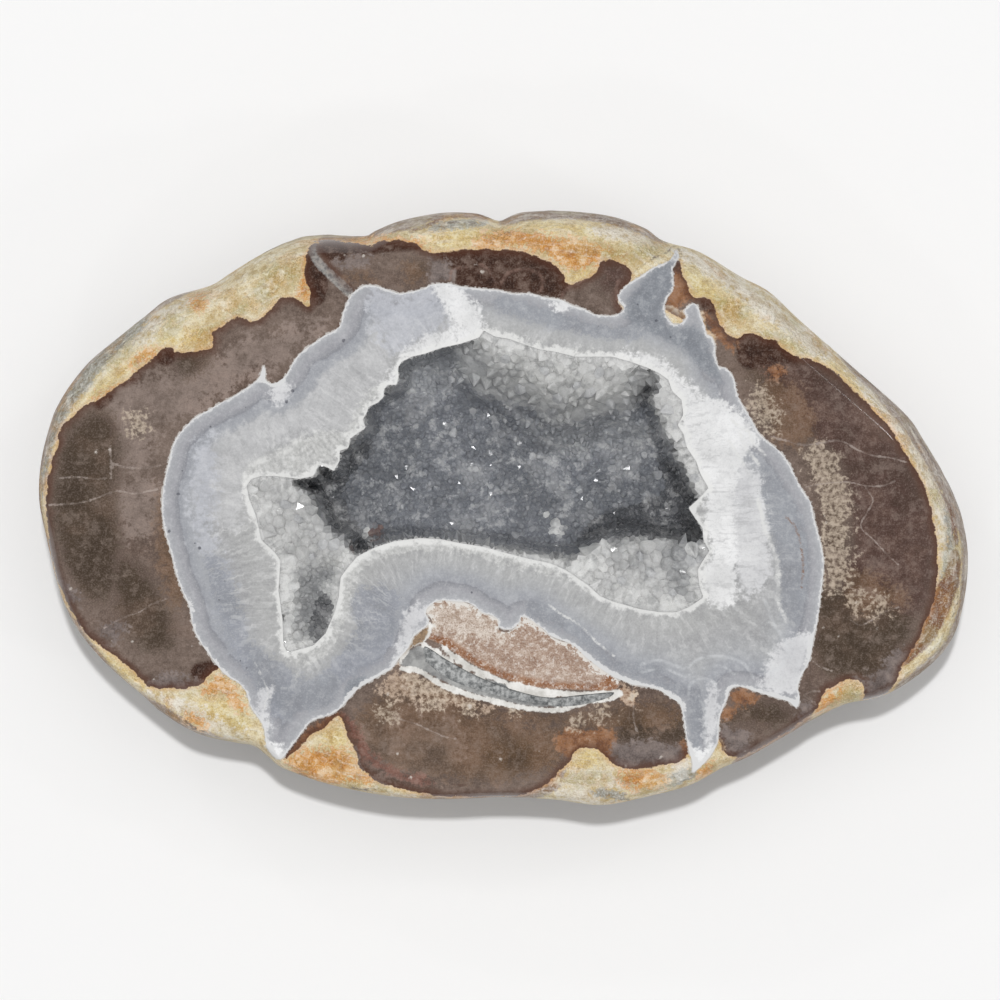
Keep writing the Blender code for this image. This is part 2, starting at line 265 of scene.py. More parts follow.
outline = on_face(OUTLINE)
outline = even_steps(outline, outline_steps)
hollow_edge = (np.array(HOLLOW_EDGE) - CENTRE) * (PIXEL, -PIXEL)
hollow_length = np.linalg.norm(np.diff(hollow_edge, axis=0), axis=1).sum()
hollow_edge = even_steps(hollow_edge, int(hollow_length / face_step))
deep_part = on_face(DEEP_PART, step=face_step)
upper_slope = on_face(UPPER_SLOPE, step=face_step)
seam_edge = on_face(SEAM, step=face_step)
agate_edge = on_face(AGATE, step=face_step)
CRACKS = [
    ([(112, 463), (125, 467), (145, 468), (165, 465)], 0.13), ([(111, 446), (112, 463), (112, 482)], 0.14),
    ([(60, 478), (80, 477), (95, 479), (110, 478)], 0.10), ([(50, 505), (80, 503), (95, 499), (110, 493),
     (120, 491), (135, 494), (150, 491), (160, 489)], 0.10),
    ([(105, 628), (125, 617), (140, 612), (155, 603), (170, 598)], 0.09),
    ([(770, 437), (785, 441), (800, 445), (815, 444), (833, 441), (845, 443), (857, 450), (870, 455),
      (890, 458), (908, 463)], 0.11),
    ([(805, 487), (820, 484), (845, 482), (860, 485), (880, 486), (897, 480)], 0.08),
    ([(865, 488), (872, 500), (866, 513), (860, 527), (873, 540), (885, 553), (900, 567)], 0.08),
    ([(850, 620), (860, 625), (872, 619), (885, 611), (900, 606)], 0.08),
    ([(812, 660), (820, 667), (833, 671)], 0.10), ([(803, 695), (812, 691), (820, 691)], 0.10),
    ([(804, 696), (810, 700), (817, 705)], 0.12), ([(632, 686), (633, 705), (634, 722), (638, 733)], 0.10),
    ([(398, 718), (415, 723), (430, 730), (445, 736), (458, 739)], 0.10),
]


def side_drop(loop):
    """Width and depth of the rounded edge at each point of the outline."""
    along = np.roll(loop, -4, 0) - np.roll(loop, 4, 0)
    outward = np.column_stack([-along[:, 1], along[:, 0]]) / np.linalg.norm(along, axis=1, keepdims=True)
    toward = np.cos(np.arctan2(outward[:, 1], outward[:, 0]) - widest_side)
    toward = sum(np.roll(toward, k) for k in range(-12, 13)) / 25
    width = shoulder_width + shoulder_width_change * toward
    return outward, width, shoulder_drop + shoulder_drop_change * toward


def smooth_step(values, start, end):
    t = np.clip((values - start) / (end - start), 0, 1)
    return t * t * (3 - 2 * t)


def hollow_depth(points, spread=0.0):
    """Depth of the crystal floor under the sawn face, or of the same floor moved that far into the stone."""
    from_edge = np.maximum(depth_inside(points, hollow_edge), 0) + spread
    from_void = depth_inside(points, deep_part) + spread
    from_slope = -depth_inside(points, upper_slope) + spread
    shelf = lip_depth + shelf_slope * from_edge
    fall = np.minimum(smooth_step(from_void, *void_edge), smooth_step(from_slope, *slope_edge))
    return shelf + void_depth * fall + spread


def lump(points, size):
    """Lumps of about one size, with finer ones on them."""
    places = [Vector(p) / size for p in points]
    return np.array([noise.noise(p) + fine_lump_share * noise.noise(p * fine_lump_scale) for p in places])


outward, shoulder, drop = side_drop(outline)
crack_lines = [on_face(px, closed=False, step=face_step) for px, _ in CRACKS]
kept_lines = [(agate_edge, True), (hollow_edge, True), (seam_edge, True)] + [(c, False) for c in crack_lines]
rounding = [outline - outward * inset for inset in (0.02 * MM, 0.09 * MM, 0.2 * MM)]
field = lattice(outline, face_step, 0.34 * MM)
for line, closed in kept_lines:
    field = field[distance_to(field, line, closed)[0] > 0.4 * face_step]
field = field[~inside(field, hollow_edge)]
field = field[~inside(field, seam_edge)]
plan, edges = [outline], loop_edges(0, outline_steps)
for line, closed in [(r, True) for r in rounding] + kept_lines:
    edges += loop_edges(sum(map(len, plan)), len(line), closed)
    plan.append(line)
agate_first = sum(map(len, plan[:4]))
hollow_first = agate_first + len(agate_edge)
seam_first = hollow_first + len(hollow_edge)
plan = np.vstack(plan + [field])
face_faces = triangles_over(plan, edges)
middles = plan[face_faces].mean(1)
kept = inside(middles, outline) & ~inside(middles, hollow_edge) & ~inside(middles, seam_edge)
face_faces, middles = face_faces[kept], middles[kept]
in_agate = inside(middles, agate_edge)

edge_gap, edge_number = distance_to(plan, outline)
edge_gap[:outline_steps] = 0
over = np.clip(1 - edge_gap / shoulder[edge_number], 0, 1)
plan_z = FACE - drop[edge_number] * (1 - np.sqrt(1 - over**2))
top_points = np.column_stack([plan, plan_z])

reach = 25
calm = sum(np.roll(outline, k, 0) for k in range(-reach, reach + 1)) / (2 * reach + 1)
side_rings = []
for step in range(1, side_steps + 1):
    share = step / side_steps
    turn = math.pi / 2 * share
    size = foot_share + (1 - foot_share) * math.cos(turn)
    ring = (outline * (1 - share) + calm * share) * size
    heights = (FACE - drop) * (1 - math.sin(turn))
    here = np.column_stack([ring, heights])
    rise = lump_height * math.sin(math.pi * share) * lump(here, lump_size)
    rise += grit_height * math.sin(math.pi * share) ** 0.5 * lump(here, grit_size)
    here[:, :2] += outward * (rise * math.cos(turn))[:, None]
    here[:, 2] = np.maximum(heights - rise * math.sin(turn), ring_rise * (side_steps - step))
    side_rings.append(here)
foot_rings = [side_rings[-1] * (scale, scale, 1) for scale in (0.75, 0.5, 0.25)]

hollow_field = lattice(hollow_edge, 0.9 * MM, 0.45 * MM)
seam_field = lattice(seam_edge, 0.5 * MM, 0.2 * MM)
hollow_plan, seam_plan = np.vstack([hollow_edge, hollow_field]), np.vstack([seam_edge, seam_field])
hollow_floor = np.column_stack([hollow_plan, FACE - hollow_depth(hollow_plan, crust_thickness)])
seam_floor = np.column_stack([seam_plan, np.full(len(seam_plan), FACE - seam_depth)])

stone_points = [top_points, *side_rings, *foot_rings, hollow_floor, seam_floor]
starts = np.concatenate([[0], np.cumsum([len(p) for p in stone_points])])
rock_part, agate_part, skin_part, seam_part = range(4)
stone_faces = [(f, agate_part if a else rock_part) for f, a in zip(face_faces.tolist(), in_agate)]
ring_starts = [0, *starts[1:side_steps + 4]]
for first, second in zip(ring_starts, ring_starts[1:]):
    stone_faces += [(f, skin_part) for f in rings_faces(first, second, outline_steps).tolist()]
stone_faces.append((list(range(ring_starts[-1], ring_starts[-1] + outline_steps)), skin_part))
hollow_start, seam_start = starts[-3], starts[-2]
for loop, field_plan, first, below, part in (
    (hollow_edge, hollow_plan, hollow_first, hollow_start, agate_part),
    (seam_edge, seam_plan, seam_first, seam_start, seam_part),
):
    stone_faces += [(f, part) for f in rings_faces(first, below, len(loop)).tolist()]
    floor_faces = triangles_over(field_plan, loop_edges(0, len(loop)))
    floor_faces = floor_faces[inside(field_plan[floor_faces].mean(1), loop)]
    stone_faces += [(f, part) for f in (floor_faces + below).tolist()]
stone_points = np.vstack(stone_points)


def new_piece(name, points, faces, smooth=True):
    mesh = bpy.data.meshes.new(name)
    mesh.from_pydata(points.tolist(), [], faces)
    piece = bpy.data.objects.new(name, mesh)
    bpy.context.scene.collection.objects.link(piece)
    for polygon in mesh.polygons:
        polygon.use_smooth = smooth
    bm = bmesh.new()
    bm.from_mesh(mesh)
    bmesh.ops.recalc_face_normals(bm, faces=bm.faces)
    bm.to_mesh(mesh)
    bm.free()
    return piece


def write_attribute(piece, name, values):
    layer = piece.data.attributes.new(name, "FLOAT", "POINT")
    layer.data.foreach_set("value", np.asarray(values, np.float32))


stone = new_piece("geode_half", stone_points, [f for f, _ in stone_faces])
stone.data.polygons.foreach_set("material_index", [part for _, part in stone_faces])
bpy.ops.object.select_all(action="DESELECT")
stone.select_set(True)
bpy.context.view_layer.objects.active = stone
bpy.ops.object.shade_smooth_by_angle(angle=math.radians(sharp_angle))
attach(stone, "root")
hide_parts("geode_stone")

# What lies where on the sawn face
# Each kind of rock and each patch of colour is traced as a shape. A point's number
# for a patch is above zero inside it, below zero outside, and 1 at the depth where its soft edge ends.
BROWN = [
    [(58, 445), (62, 430), (75, 415), (88, 405), (100, 399), (112, 391), (122, 383), (132, 378), (138, 370),
     (150, 362), (158, 355), (165, 349), (173, 349), (178, 353), (200, 350), (212, 349), (214, 342),
     (213, 333), (220, 328), (230, 322), (240, 317), (250, 322), (258, 321), (265, 315), (272, 308),
     (280, 300), (290, 297), (300, 300), (308, 306), (311, 297), (304, 275), (305, 263), (308, 252),
     (312, 244), (318, 242), (330, 262), (345, 282), (360, 300), (300, 400), (250, 470), (200, 520),
     (215, 600), (240, 670), (221, 667), (208, 677), (200, 684), (180, 688), (155, 688), (143, 680),
     (130, 668), (115, 655), (98, 643), (82, 626), (66, 600), (57, 575), (51, 550), (48, 520), (48, 490),
     (52, 465)],
    [(318, 243), (330, 240), (345, 242), (352, 243), (362, 245), (372, 246), (382, 242), (398, 241),
     (412, 243), (420, 247), (428, 252), (440, 253), (450, 252), (475, 250), (509, 251), (531, 255),
     (546, 261), (561, 271), (567, 284), (583, 281), (596, 271), (602, 263), (614, 261), (625, 266),
     (631, 273), (629, 281), (622, 292), (618, 302), (625, 330), (560, 330), (480, 310), (432, 300),
     (360, 300), (335, 275), (322, 258)],
    [(672, 262), (680, 262), (682, 275), (688, 288), (694, 298), (705, 299), (712, 303), (716, 315),
     (722, 328), (730, 336), (738, 338), (744, 334), (754, 334), (763, 339), (774, 341), (783, 348),
     (796, 357), (811, 360), (826, 367), (841, 378), (854, 391), (867, 404), (881, 419), (892, 433),
     (903, 450), (913, 465), (922, 483), (929, 507), (934, 530), (937, 555), (936, 580), (933, 600),
     (926, 620), (917, 640), (907, 656), (898, 672), (890, 690), (868, 700), (862, 697), (863, 690),
     (858, 679), (845, 680), (835, 684), (825, 690), (815, 710), (800, 722), (792, 729), (770, 741),
     (750, 752), (735, 757), (722, 750), (718, 740), (700, 690), (750, 640), (780, 560), (760, 470),
     (720, 400), (690, 330), (660, 305), (660, 280)],
    [(338, 715), (346, 730), (353, 745), (358, 757), (359, 764), (367, 773), (382, 782), (400, 788),
     (430, 794), (470, 796), (510, 796), (535, 790), (548, 782), (556, 774), (567, 763), (575, 752),
     (584, 747), (597, 748), (606, 758), (615, 765), (626, 767), (639, 769), (652, 767), (670, 763),
     (684, 757), (700, 740), (690, 690), (600, 640), (500, 590), (430, 590), (400, 640), (350, 680),
     (300, 700), (284, 755), (292, 754), (302, 744), (312, 735), (325, 728)],
]
LENS = [
    (424, 606), (430, 601), (440, 599), (452, 598), (462, 601), (474, 606), (481, 611), (490, 615),
    (500, 617), (501, 624), (498, 629), (505, 632), (512, 630), (517, 624), (519, 615), (525, 616),
    (535, 622), (545, 631), (552, 637), (561, 641), (570, 643), (580, 649), (590, 660), (600, 667),
    (610, 673), (617, 679), (619, 686), (612, 690), (600, 690), (570, 689), (545, 688), (525, 685),
    (505, 679), (490, 673), (475, 665), (460, 656), (445, 646), (434, 641), (427, 637), (431, 630),
    (432, 620), (426, 612),
]
CREAM_SPIKE = [(664, 308), (670, 306), (680, 312), (688, 308), (692, 314), (684, 324), (674, 327),
               (666, 320)]
# name, pale and dark colour, size of its mottling, ragged edge, soft edge in mm, how much it covers, shapes
ROCK_PATCHES = [
    ("yellow", "f6e6b0", "e0c078", "patch", 1.0, 1.4, 0.95, [
        [(86, 402), (100, 396), (115, 385), (128, 376), (136, 366), (150, 357), (158, 351), (168, 346),
         (185, 349), (206, 347), (210, 335), (200, 328), (185, 330), (168, 336), (150, 348), (138, 352),
         (125, 362), (112, 376), (98, 386)],
        [(425, 236), (450, 231), (478, 227), (500, 228), (520, 226), (560, 224), (600, 228), (600, 238),
         (560, 235), (525, 231), (500, 240), (478, 246), (450, 250), (428, 248)],
        [(558, 263), (575, 266), (592, 270), (586, 280), (572, 283), (562, 274)],
        [(684, 270), (700, 276), (720, 292), (735, 306), (728, 316), (706, 304), (690, 296), (684, 282)],
        [(828, 361), (845, 372), (862, 389), (878, 409), (883, 420), (872, 410), (856, 395), (838, 378)],
        [(570, 764), (578, 755), (586, 748), (598, 748), (602, 756), (596, 765), (582, 770)],
        [(322, 731), (334, 725), (342, 727), (348, 742), (338, 752), (324, 746)],
        [(196, 702), (222, 696), (238, 704), (252, 726), (240, 736), (216, 730), (200, 716)],
        [(106, 652), (124, 664), (148, 684), (166, 694), (150, 697), (128, 682), (106, 662)],
    ]),
    ("pale_rind", "f6eee0", "dccfb8", "patch", 1.0, 1.2, 0.9, [
        [(128, 352), (128, 338), (142, 324), (162, 310), (182, 298), (204, 291), (206, 300), (186, 308),
         (168, 322), (150, 340)],
        [(600, 226), (640, 230), (664, 242), (660, 250), (640, 248), (618, 240), (598, 236)],
        [(672, 250), (700, 256), (735, 278), (768, 296), (800, 324), (832, 352), (824, 357), (802, 350),
         (780, 330), (752, 312), (724, 286), (696, 268)],
        [(556, 790), (590, 786), (612, 796), (600, 804), (566, 799)],
        [(152, 690), (172, 697), (200, 708), (226, 722), (246, 732), (236, 738), (205, 727), (176, 711),
         (150, 697)],
        [(330, 790), (380, 791), (430, 796), (400, 799), (350, 795)],
        [(840, 356), (860, 372), (880, 392), (900, 414), (918, 436), (934, 462), (948, 490), (954, 515),
         (954, 545), (941, 565), (938, 590), (933, 590), (938, 560), (936, 530), (930, 508), (922, 484),
         (912, 464), (902, 449), (891, 432)],
        [(556, 772), (600, 770), (640, 776), (686, 762), (690, 772), (650, 792), (600, 788), (560, 786)],
    ]),
    ("grey_rind", "b9bab6", "77776f", "grain", 0.8, 0.7, 0.9, [
        [(40, 500), (42, 470), (46, 442), (54, 416), (64, 396), (76, 378), (90, 360), (102, 346), (118, 330),
         (134, 318), (150, 312), (142, 330), (130, 342), (120, 352), (110, 362), (98, 376), (88, 390),
         (76, 404), (66, 418), (58, 436), (52, 456), (48, 480)],
        [(428, 229), (442, 222), (462, 220), (486, 222), (478, 227), (452, 229), (436, 232)],
        [(946, 498), (952, 515), (954, 530), (953, 548), (950, 562), (946, 578), (942, 590), (938, 588),
         (941, 570), (944, 550), (945, 530), (943, 515)],
        [(590, 790), (606, 787), (626, 792), (618, 799), (600, 798)],
        [(522, 778), (534, 778), (540, 786), (526, 788)], [(660, 780), (690, 768), (700, 774), (670, 786)],
    ]),
    ("mauve_rind", "c6b8b0", "7f6b63", "run", 0.5, 0.5, 0.95, [
        [(872, 388), (884, 395), (901, 412), (920, 434), (936, 462), (950, 494), (958, 520), (951, 520),
         (941, 498), (927, 467), (911, 441), (893, 417), (877, 398)],
        [(43, 470), (50, 440), (57, 416), (66, 398), (78, 380), (92, 362), (106, 348), (120, 334),
         (136, 322), (150, 314), (170, 304), (190, 292), (200, 287), (190, 283), (160, 296), (130, 318),
         (98, 345), (74, 370), (56, 395), (42, 425), (36, 460)],
        [(318, 243), (322, 236), (345, 232), (366, 236), (352, 242), (345, 241), (335, 239)],
        [(362, 239), (375, 226), (400, 216), (440, 207), (472, 207), (490, 214), (482, 219), (466, 215),
         (446, 216), (430, 222), (410, 229), (390, 234)],
        [(498, 223), (508, 212), (530, 206), (566, 206), (612, 210), (648, 224), (668, 242), (656, 242),
         (640, 234), (615, 226), (590, 221), (560, 219), (530, 221), (508, 225)],
        [(838, 352), (860, 366), (882, 385), (904, 404), (926, 432), (944, 460), (958, 488), (968, 515),
         (975, 555), (970, 600), (955, 648), (925, 678), (900, 692), (894, 686), (914, 670), (930, 656),
         (944, 640), (953, 620), (959, 600), (961, 570), (960, 545), (954, 520), (946, 494), (932, 466),
         (915, 440), (896, 415), (876, 395), (856, 376)],
        [(58, 600), (73, 630), (96, 657), (120, 683), (148, 706), (183, 734), (215, 743), (232, 743),
         (212, 732), (190, 722), (165, 705), (140, 691), (115, 669), (93, 643), (74, 616)],
        [(425, 803), (428, 786), (460, 781), (500, 781), (540, 783), (556, 779), (560, 786), (540, 797),
         (500, 804)],
        [(733, 765), (745, 748), (765, 738), (785, 726), (800, 716), (812, 716), (802, 730), (775, 748)],
        [(540, 778), (552, 774), (566, 770), (560, 782), (545, 784)],
    ]),
    ("rust_rind", "93664f", "623b2c", "run", 0.5, 0.5, 0.95, [
        [(946, 500), (953, 512), (957, 530), (958, 545), (954, 546), (952, 535), (950, 520)],
        [(933, 592), (944, 572), (951, 552), (957, 550), (961, 565), (958, 585), (952, 602), (944, 622),
         (932, 640), (920, 652), (908, 664), (898, 664), (908, 648), (919, 630), (926, 612)],
        [(36, 430), (42, 425), (44, 440), (42, 460), (41, 490), (44, 520), (50, 550), (44, 550), (36, 510)],
        [(410, 231), (425, 225), (438, 218), (455, 214), (480, 213), (495, 218), (480, 219), (455, 218),
         (440, 221), (428, 228), (412, 233)],
        [(96, 655), (125, 683), (150, 703), (140, 703), (118, 685), (94, 660)],
        [(500, 234), (512, 232), (512, 240), (502, 242)],
    ]),
    ("orange", "f2ba6c", "c57c38", "patch", 1.0, 1.2, 1.0, [
        [(503, 232), (530, 232), (560, 238), (600, 244), (625, 250), (632, 262), (618, 262), (602, 262),
         (592, 268), (576, 272), (566, 268), (556, 262), (545, 256), (525, 248), (505, 246), (486, 250),
         (476, 247), (480, 238)],
        [(132, 360), (148, 350), (157, 352), (146, 362), (136, 368)],
        [(192, 300), (202, 294), (206, 306), (198, 312), (190, 308)],
        [(303, 262), (310, 252), (307, 272), (312, 290), (306, 302), (298, 294), (300, 278)],
        [(288, 757), (310, 748), (340, 748), (355, 756), (357, 768), (375, 782), (340, 784), (310, 780),
         (294, 770)],
        [(202, 690), (210, 682), (222, 676), (236, 690), (246, 712), (236, 706), (222, 694), (208, 695)],
        [(186, 712), (198, 714), (206, 724), (196, 726)],
        [(816, 708), (826, 692), (842, 684), (846, 694), (836, 704), (822, 712)],
        [(618, 772), (650, 770), (666, 776), (660, 788), (636, 790), (622, 786)],
        [(352, 242), (372, 236), (400, 238), (420, 243), (430, 252), (415, 248), (395, 242), (372, 242),
         (360, 245)],
        [(696, 768), (706, 762), (716, 764), (708, 776), (698, 778)],
        [(96, 394), (112, 386), (122, 382), (112, 392), (98, 400)],
        [(652, 702), (678, 702), (684, 716), (680, 722), (664, 720)],
    ]),
    ("olive", "cdbf86", "96864c", "grain", 1.2, 1.2, 0.75, [
        [(160, 334), (170, 322), (184, 316), (178, 328), (166, 336)],
        [(196, 348), (200, 330), (216, 322), (226, 318), (218, 334), (212, 346)],
        [(255, 290), (268, 270), (282, 264), (290, 276), (276, 298), (262, 306)],
        [(284, 268), (300, 262), (300, 280), (290, 290)],
        [(625, 256), (640, 246), (664, 244), (664, 252), (645, 262), (630, 266)],
        [(716, 296), (740, 302), (750, 318), (736, 324), (716, 314)],
        [(760, 330), (790, 340), (806, 354), (790, 350), (764, 340)],
        [(108, 362), (122, 352), (128, 344), (134, 350), (124, 360), (112, 368)],
        [(845, 704), (838, 694), (850, 686), (862, 690), (858, 700)],
        [(560, 778), (590, 772), (610, 776), (596, 784), (570, 784)],
        [(926, 490), (938, 492), (938, 504), (930, 504)],
        [(694, 302), (716, 304), (724, 318), (712, 322), (702, 314)],
        [(230, 312), (245, 300), (252, 305), (240, 318)], [(604, 252), (622, 246), (626, 256), (610, 262)],
        (172, 319, 5), (190, 312, 3), (443, 322, 4), (382, 788, 6), (352, 787, 7), (793, 322, 3),
        (430, 794, 3),
    ]),
    ("brown", "7b6c63", "6c5d55", "sweep", 0.22, 1.0, 1.0, BROWN),
    ("taupe", "95867e", "7e7068", "cloud", 0.8, 2.5, 0.85, [
        [(110, 395), (140, 378), (170, 372), (215, 360), (250, 340), (290, 330), (320, 320), (300, 350),
         (250, 380), (200, 410), (160, 430), (150, 470), (130, 470), (115, 440)],
        [(130, 480), (155, 478), (155, 530), (130, 540), (120, 510)],
        [(345, 740), (400, 720), (460, 730), (450, 770), (400, 780), (360, 765)],
        [(820, 380), (850, 400), (860, 440), (840, 430), (815, 410)],
    ]),
    ("dark_olive", "53463b", "43392f", "cloud", 0.6, 2.5, 0.95, [
        [(62, 450), (75, 425), (95, 412), (115, 420), (120, 450), (115, 490), (120, 540), (112, 590),
         (95, 600), (75, 580), (60, 545), (55, 500)],
        [(120, 560), (160, 590), (175, 640), (150, 650), (120, 620)],
        [(480, 745), (520, 740), (556, 742), (560, 765), (530, 770), (490, 768)],
        [(815, 590), (870, 590), (910, 610), (900, 650), (880, 675), (830, 675), (812, 650)],
        [(745, 700), (780, 706), (790, 716), (770, 725), (745, 722), (722, 722), (735, 708)],
        [(178, 352), (206, 352), (204, 370), (184, 374)],
        [(620, 716), (650, 714), (684, 718), (684, 742), (650, 744), (618, 740)],
        [(740, 340), (790, 352), (830, 380), (800, 390), (760, 385), (742, 370)],
    ]),
    ("maroon", "5b4640", "4b3934", "cloud", 0.4, 3.0, 0.9, [
        [(760, 352), (820, 370), (864, 406), (900, 450), (926, 500), (934, 560), (920, 610), (880, 606),
         (840, 590), (850, 540), (840, 470), (800, 430), (770, 390)],
        [(602, 264), (614, 261), (625, 266), (631, 273), (628, 284), (618, 292), (600, 288)],
    ]),
    ("olive_brown", "7c6049", "5d4a39", "cloud", 0.6, 2.4, 0.65, [
        [(350, 730), (380, 690), (420, 690), (480, 712), (560, 724), (620, 700), (680, 704), (684, 720),
         (620, 730), (560, 742), (555, 765), (500, 780), (440, 778), (390, 768), (362, 750)],
        [(160, 500), (172, 510), (182, 560), (190, 600), (170, 600), (158, 560)],
        [(405, 264), (425, 262), (428, 280), (408, 284)],
        [(765, 380), (800, 390), (815, 430), (800, 450), (775, 440), (760, 410)],
        [(845, 570), (880, 580), (905, 600), (870, 614), (845, 604)],
        [(380, 690), (405, 674), (450, 684), (500, 706), (560, 712), (600, 712), (590, 728), (520, 725),
         (470, 716), (430, 730), (400, 705)],
        [(345, 276), (365, 272), (375, 282), (355, 284)],
    ]),
    ("chocolate", "4c352b", "35241e", "patch", 0.35, 0.7, 0.95, [
        [(318, 250), (322, 245), (330, 241), (338, 241), (346, 245), (350, 250), (347, 257), (344, 262),
         (335, 262), (328, 260), (322, 255)],
        [(352, 247), (360, 246), (372, 248), (382, 244), (398, 243), (412, 245), (421, 249), (415, 251),
         (400, 252), (385, 253), (372, 255), (360, 256), (352, 253)],
        [(434, 253), (450, 252), (475, 250), (509, 251), (531, 255), (546, 261), (561, 271), (568, 286),
         (562, 298), (545, 296), (520, 292), (490, 290), (466, 288), (456, 284), (456, 274), (444, 262)],
        [(308, 258), (314, 256), (322, 266), (328, 275), (326, 300), (316, 306), (310, 296), (305, 275)],
        [(736, 338), (748, 334), (764, 338), (780, 343), (792, 352), (796, 364), (778, 362), (764, 366),
         (748, 370), (738, 362)],
        [(158, 354), (166, 349), (175, 353), (175, 362), (166, 366), (158, 362)],
        [(195, 664), (215, 660), (222, 668), (205, 680), (192, 676)],
        [(700, 302), (708, 300), (714, 306), (712, 314), (704, 312)],
        [(96, 403), (112, 394), (112, 402), (100, 410)],
    ]),
    ("rust", "a8774f", "7a5039", "patch", 0.6, 1.2, 0.8, [
        [(564, 730), (600, 728), (614, 734), (612, 748), (604, 758), (596, 748), (584, 748), (572, 756),
         (562, 752), (556, 742)],
        [(600, 750), (612, 748), (612, 760), (604, 762)],
        [(672, 264), (680, 276), (688, 288), (692, 298), (684, 302), (674, 310), (666, 306), (670, 292),
         (674, 280)],
        [(700, 314), (712, 318), (722, 334), (735, 345), (730, 350), (716, 340), (706, 328)],
        [(618, 685), (632, 690), (634, 704), (622, 700)],
        [(728, 694), (740, 689), (756, 696), (752, 704), (736, 704)],
        [(720, 712), (734, 708), (732, 716), (722, 718)],
        [(296, 744), (302, 734), (312, 725), (335, 714), (342, 716), (344, 724), (326, 728), (316, 734),
         (306, 742), (298, 752), (288, 761), (284, 760)],
        [(196, 690), (206, 680), (216, 670), (222, 666), (234, 680), (246, 700), (252, 714), (240, 704),
         (228, 686), (216, 678)],
        [(768, 368), (780, 368), (784, 374), (776, 378), (768, 375)],
        [(680, 742), (690, 745), (692, 762), (686, 766), (680, 756)],
    ]),
    ("tan_pale", "d4beaa", "8f7863", "grain", 0.8, 1.8, 0.8, [
        [(378, 692), (392, 674), (404, 668), (424, 676), (444, 686), (466, 698), (492, 706), (480, 712),
         (450, 704), (425, 700), (400, 698)],
        [(620, 684), (634, 688), (634, 704), (624, 704)]]),
    ("reddish_edge", "8c6459", "70493f", "patch", 0.6, 1.2, 0.8, [
        [(344, 714), (352, 735), (362, 756), (376, 768), (400, 779), (430, 785), (430, 778), (400, 770),
         (380, 758), (366, 745), (356, 725)],
    ]),
    ("mauve_grey", "817774", "665d5b", "patch", 1.0, 1.2, 0.85, [
        [(612, 748), (640, 742), (680, 746), (682, 758), (664, 766), (636, 768), (614, 764)],
        [(720, 730), (740, 728), (750, 742), (742, 754), (730, 752), (722, 742)],
        [(862, 692), (866, 678), (880, 668), (890, 654), (904, 646), (902, 664), (894, 680), (884, 694),
         (868, 700)],
        [(150, 678), (170, 674), (196, 680), (196, 686), (170, 690), (150, 688)],
        [(100, 628), (118, 618), (126, 624), (116, 640), (104, 640)],
        [(62, 578), (74, 590), (84, 600), (72, 604), (62, 596)],
        [(432, 255), (440, 258), (450, 268), (452, 276), (448, 284), (432, 284), (430, 270)],
        [(800, 702), (808, 700), (815, 708), (808, 718), (800, 722), (796, 716)],
        [(338, 262), (365, 258), (370, 262), (350, 267), (340, 266)],
    ]),
    ("coarse_grains", "e2d2bd", "4e3c2c", "grain", 0.9, 1.8, 0.65, [
        [(806, 452), (822, 446), (836, 460), (845, 485), (848, 520), (850, 555), (844, 590), (832, 592),
         (822, 560), (824, 520), (818, 490), (810, 470)],
        [(752, 392), (766, 392), (775, 412), (772, 432), (758, 425)],
        [(130, 415), (145, 414), (146, 430), (132, 432)],
        [(405, 672), (440, 680), (462, 696), (440, 696), (412, 684)], (853, 602, 8), (880, 607, 9),
        (386, 712, 8), (470, 708, 7), (513, 708, 5), (602, 712, 6), (579, 724, 6), (433, 702, 7),
        (420, 686, 8),
    ]),
    ("vein", "b5b3ae", "7f8182", "grain", 0.35, 0.4, 0.8, [
        [(345, 236), (324, 240), (316, 248), (320, 258), (330, 268), (342, 280), (354, 291), (348, 297),
         (333, 283), (320, 271), (311, 259), (309, 248), (316, 238), (330, 234)],
        [(848, 676), (860, 678), (865, 686), (862, 697), (859, 694), (861, 686), (856, 680)],
        [(355, 744), (360, 756), (361, 764), (372, 776), (392, 786), (414, 791), (390, 789), (368, 780),
         (356, 766)],
    ]),
    ("cream_spike", "ded3c3", "c39a68", "patch", 0.7, 0.5, 0.95, [CREAM_SPIKE,
        [(698, 312), (703, 314), (708, 328), (715, 338), (712, 346), (705, 336), (700, 324)],
        [(712, 738), (722, 740), (724, 752), (718, 762), (710, 764)], [(628, 698), (636, 690), (634, 700)],
        [(664, 258), (670, 252), (675, 252), (673, 262), (668, 266)]]),
    ("pale_flecks", "e0dbd3", "c9bfb5", "grain", 0.6, 0.3, 0.7, [
        (97, 452, 1.6), (111, 450, 1.2), (470, 706, 1.6), (388, 694, 1.6), (398, 754, 1.2),
        (540, 752, 1.2), (550, 726, 1.1), (525, 727, 1.2), (476, 266, 1.2), (482, 272, 1.1),
        (823, 516, 1.4), (826, 522, 1.2), (813, 430, 1.2), (830, 598, 1.1), (856, 602, 1.2),
        (155, 678, 1.4), (877, 628, 1.2), (410, 777, 1.6), (513, 709, 1.2), (364, 256, 1.2),
        (345, 255, 1.1), (660, 757, 1.2), (735, 758, 1.4), (625, 766, 1.1), (640, 767, 1.2),
        (120, 622, 1.2), (112, 640, 1.2), (72, 588, 1.2), (838, 636, 1.1), (823, 627, 1.1),
        (193, 646, 1.2), (133, 642, 1.2), (603, 711, 1.2), (501, 759, 1.1), (745, 752, 1.4),
    ]),
]
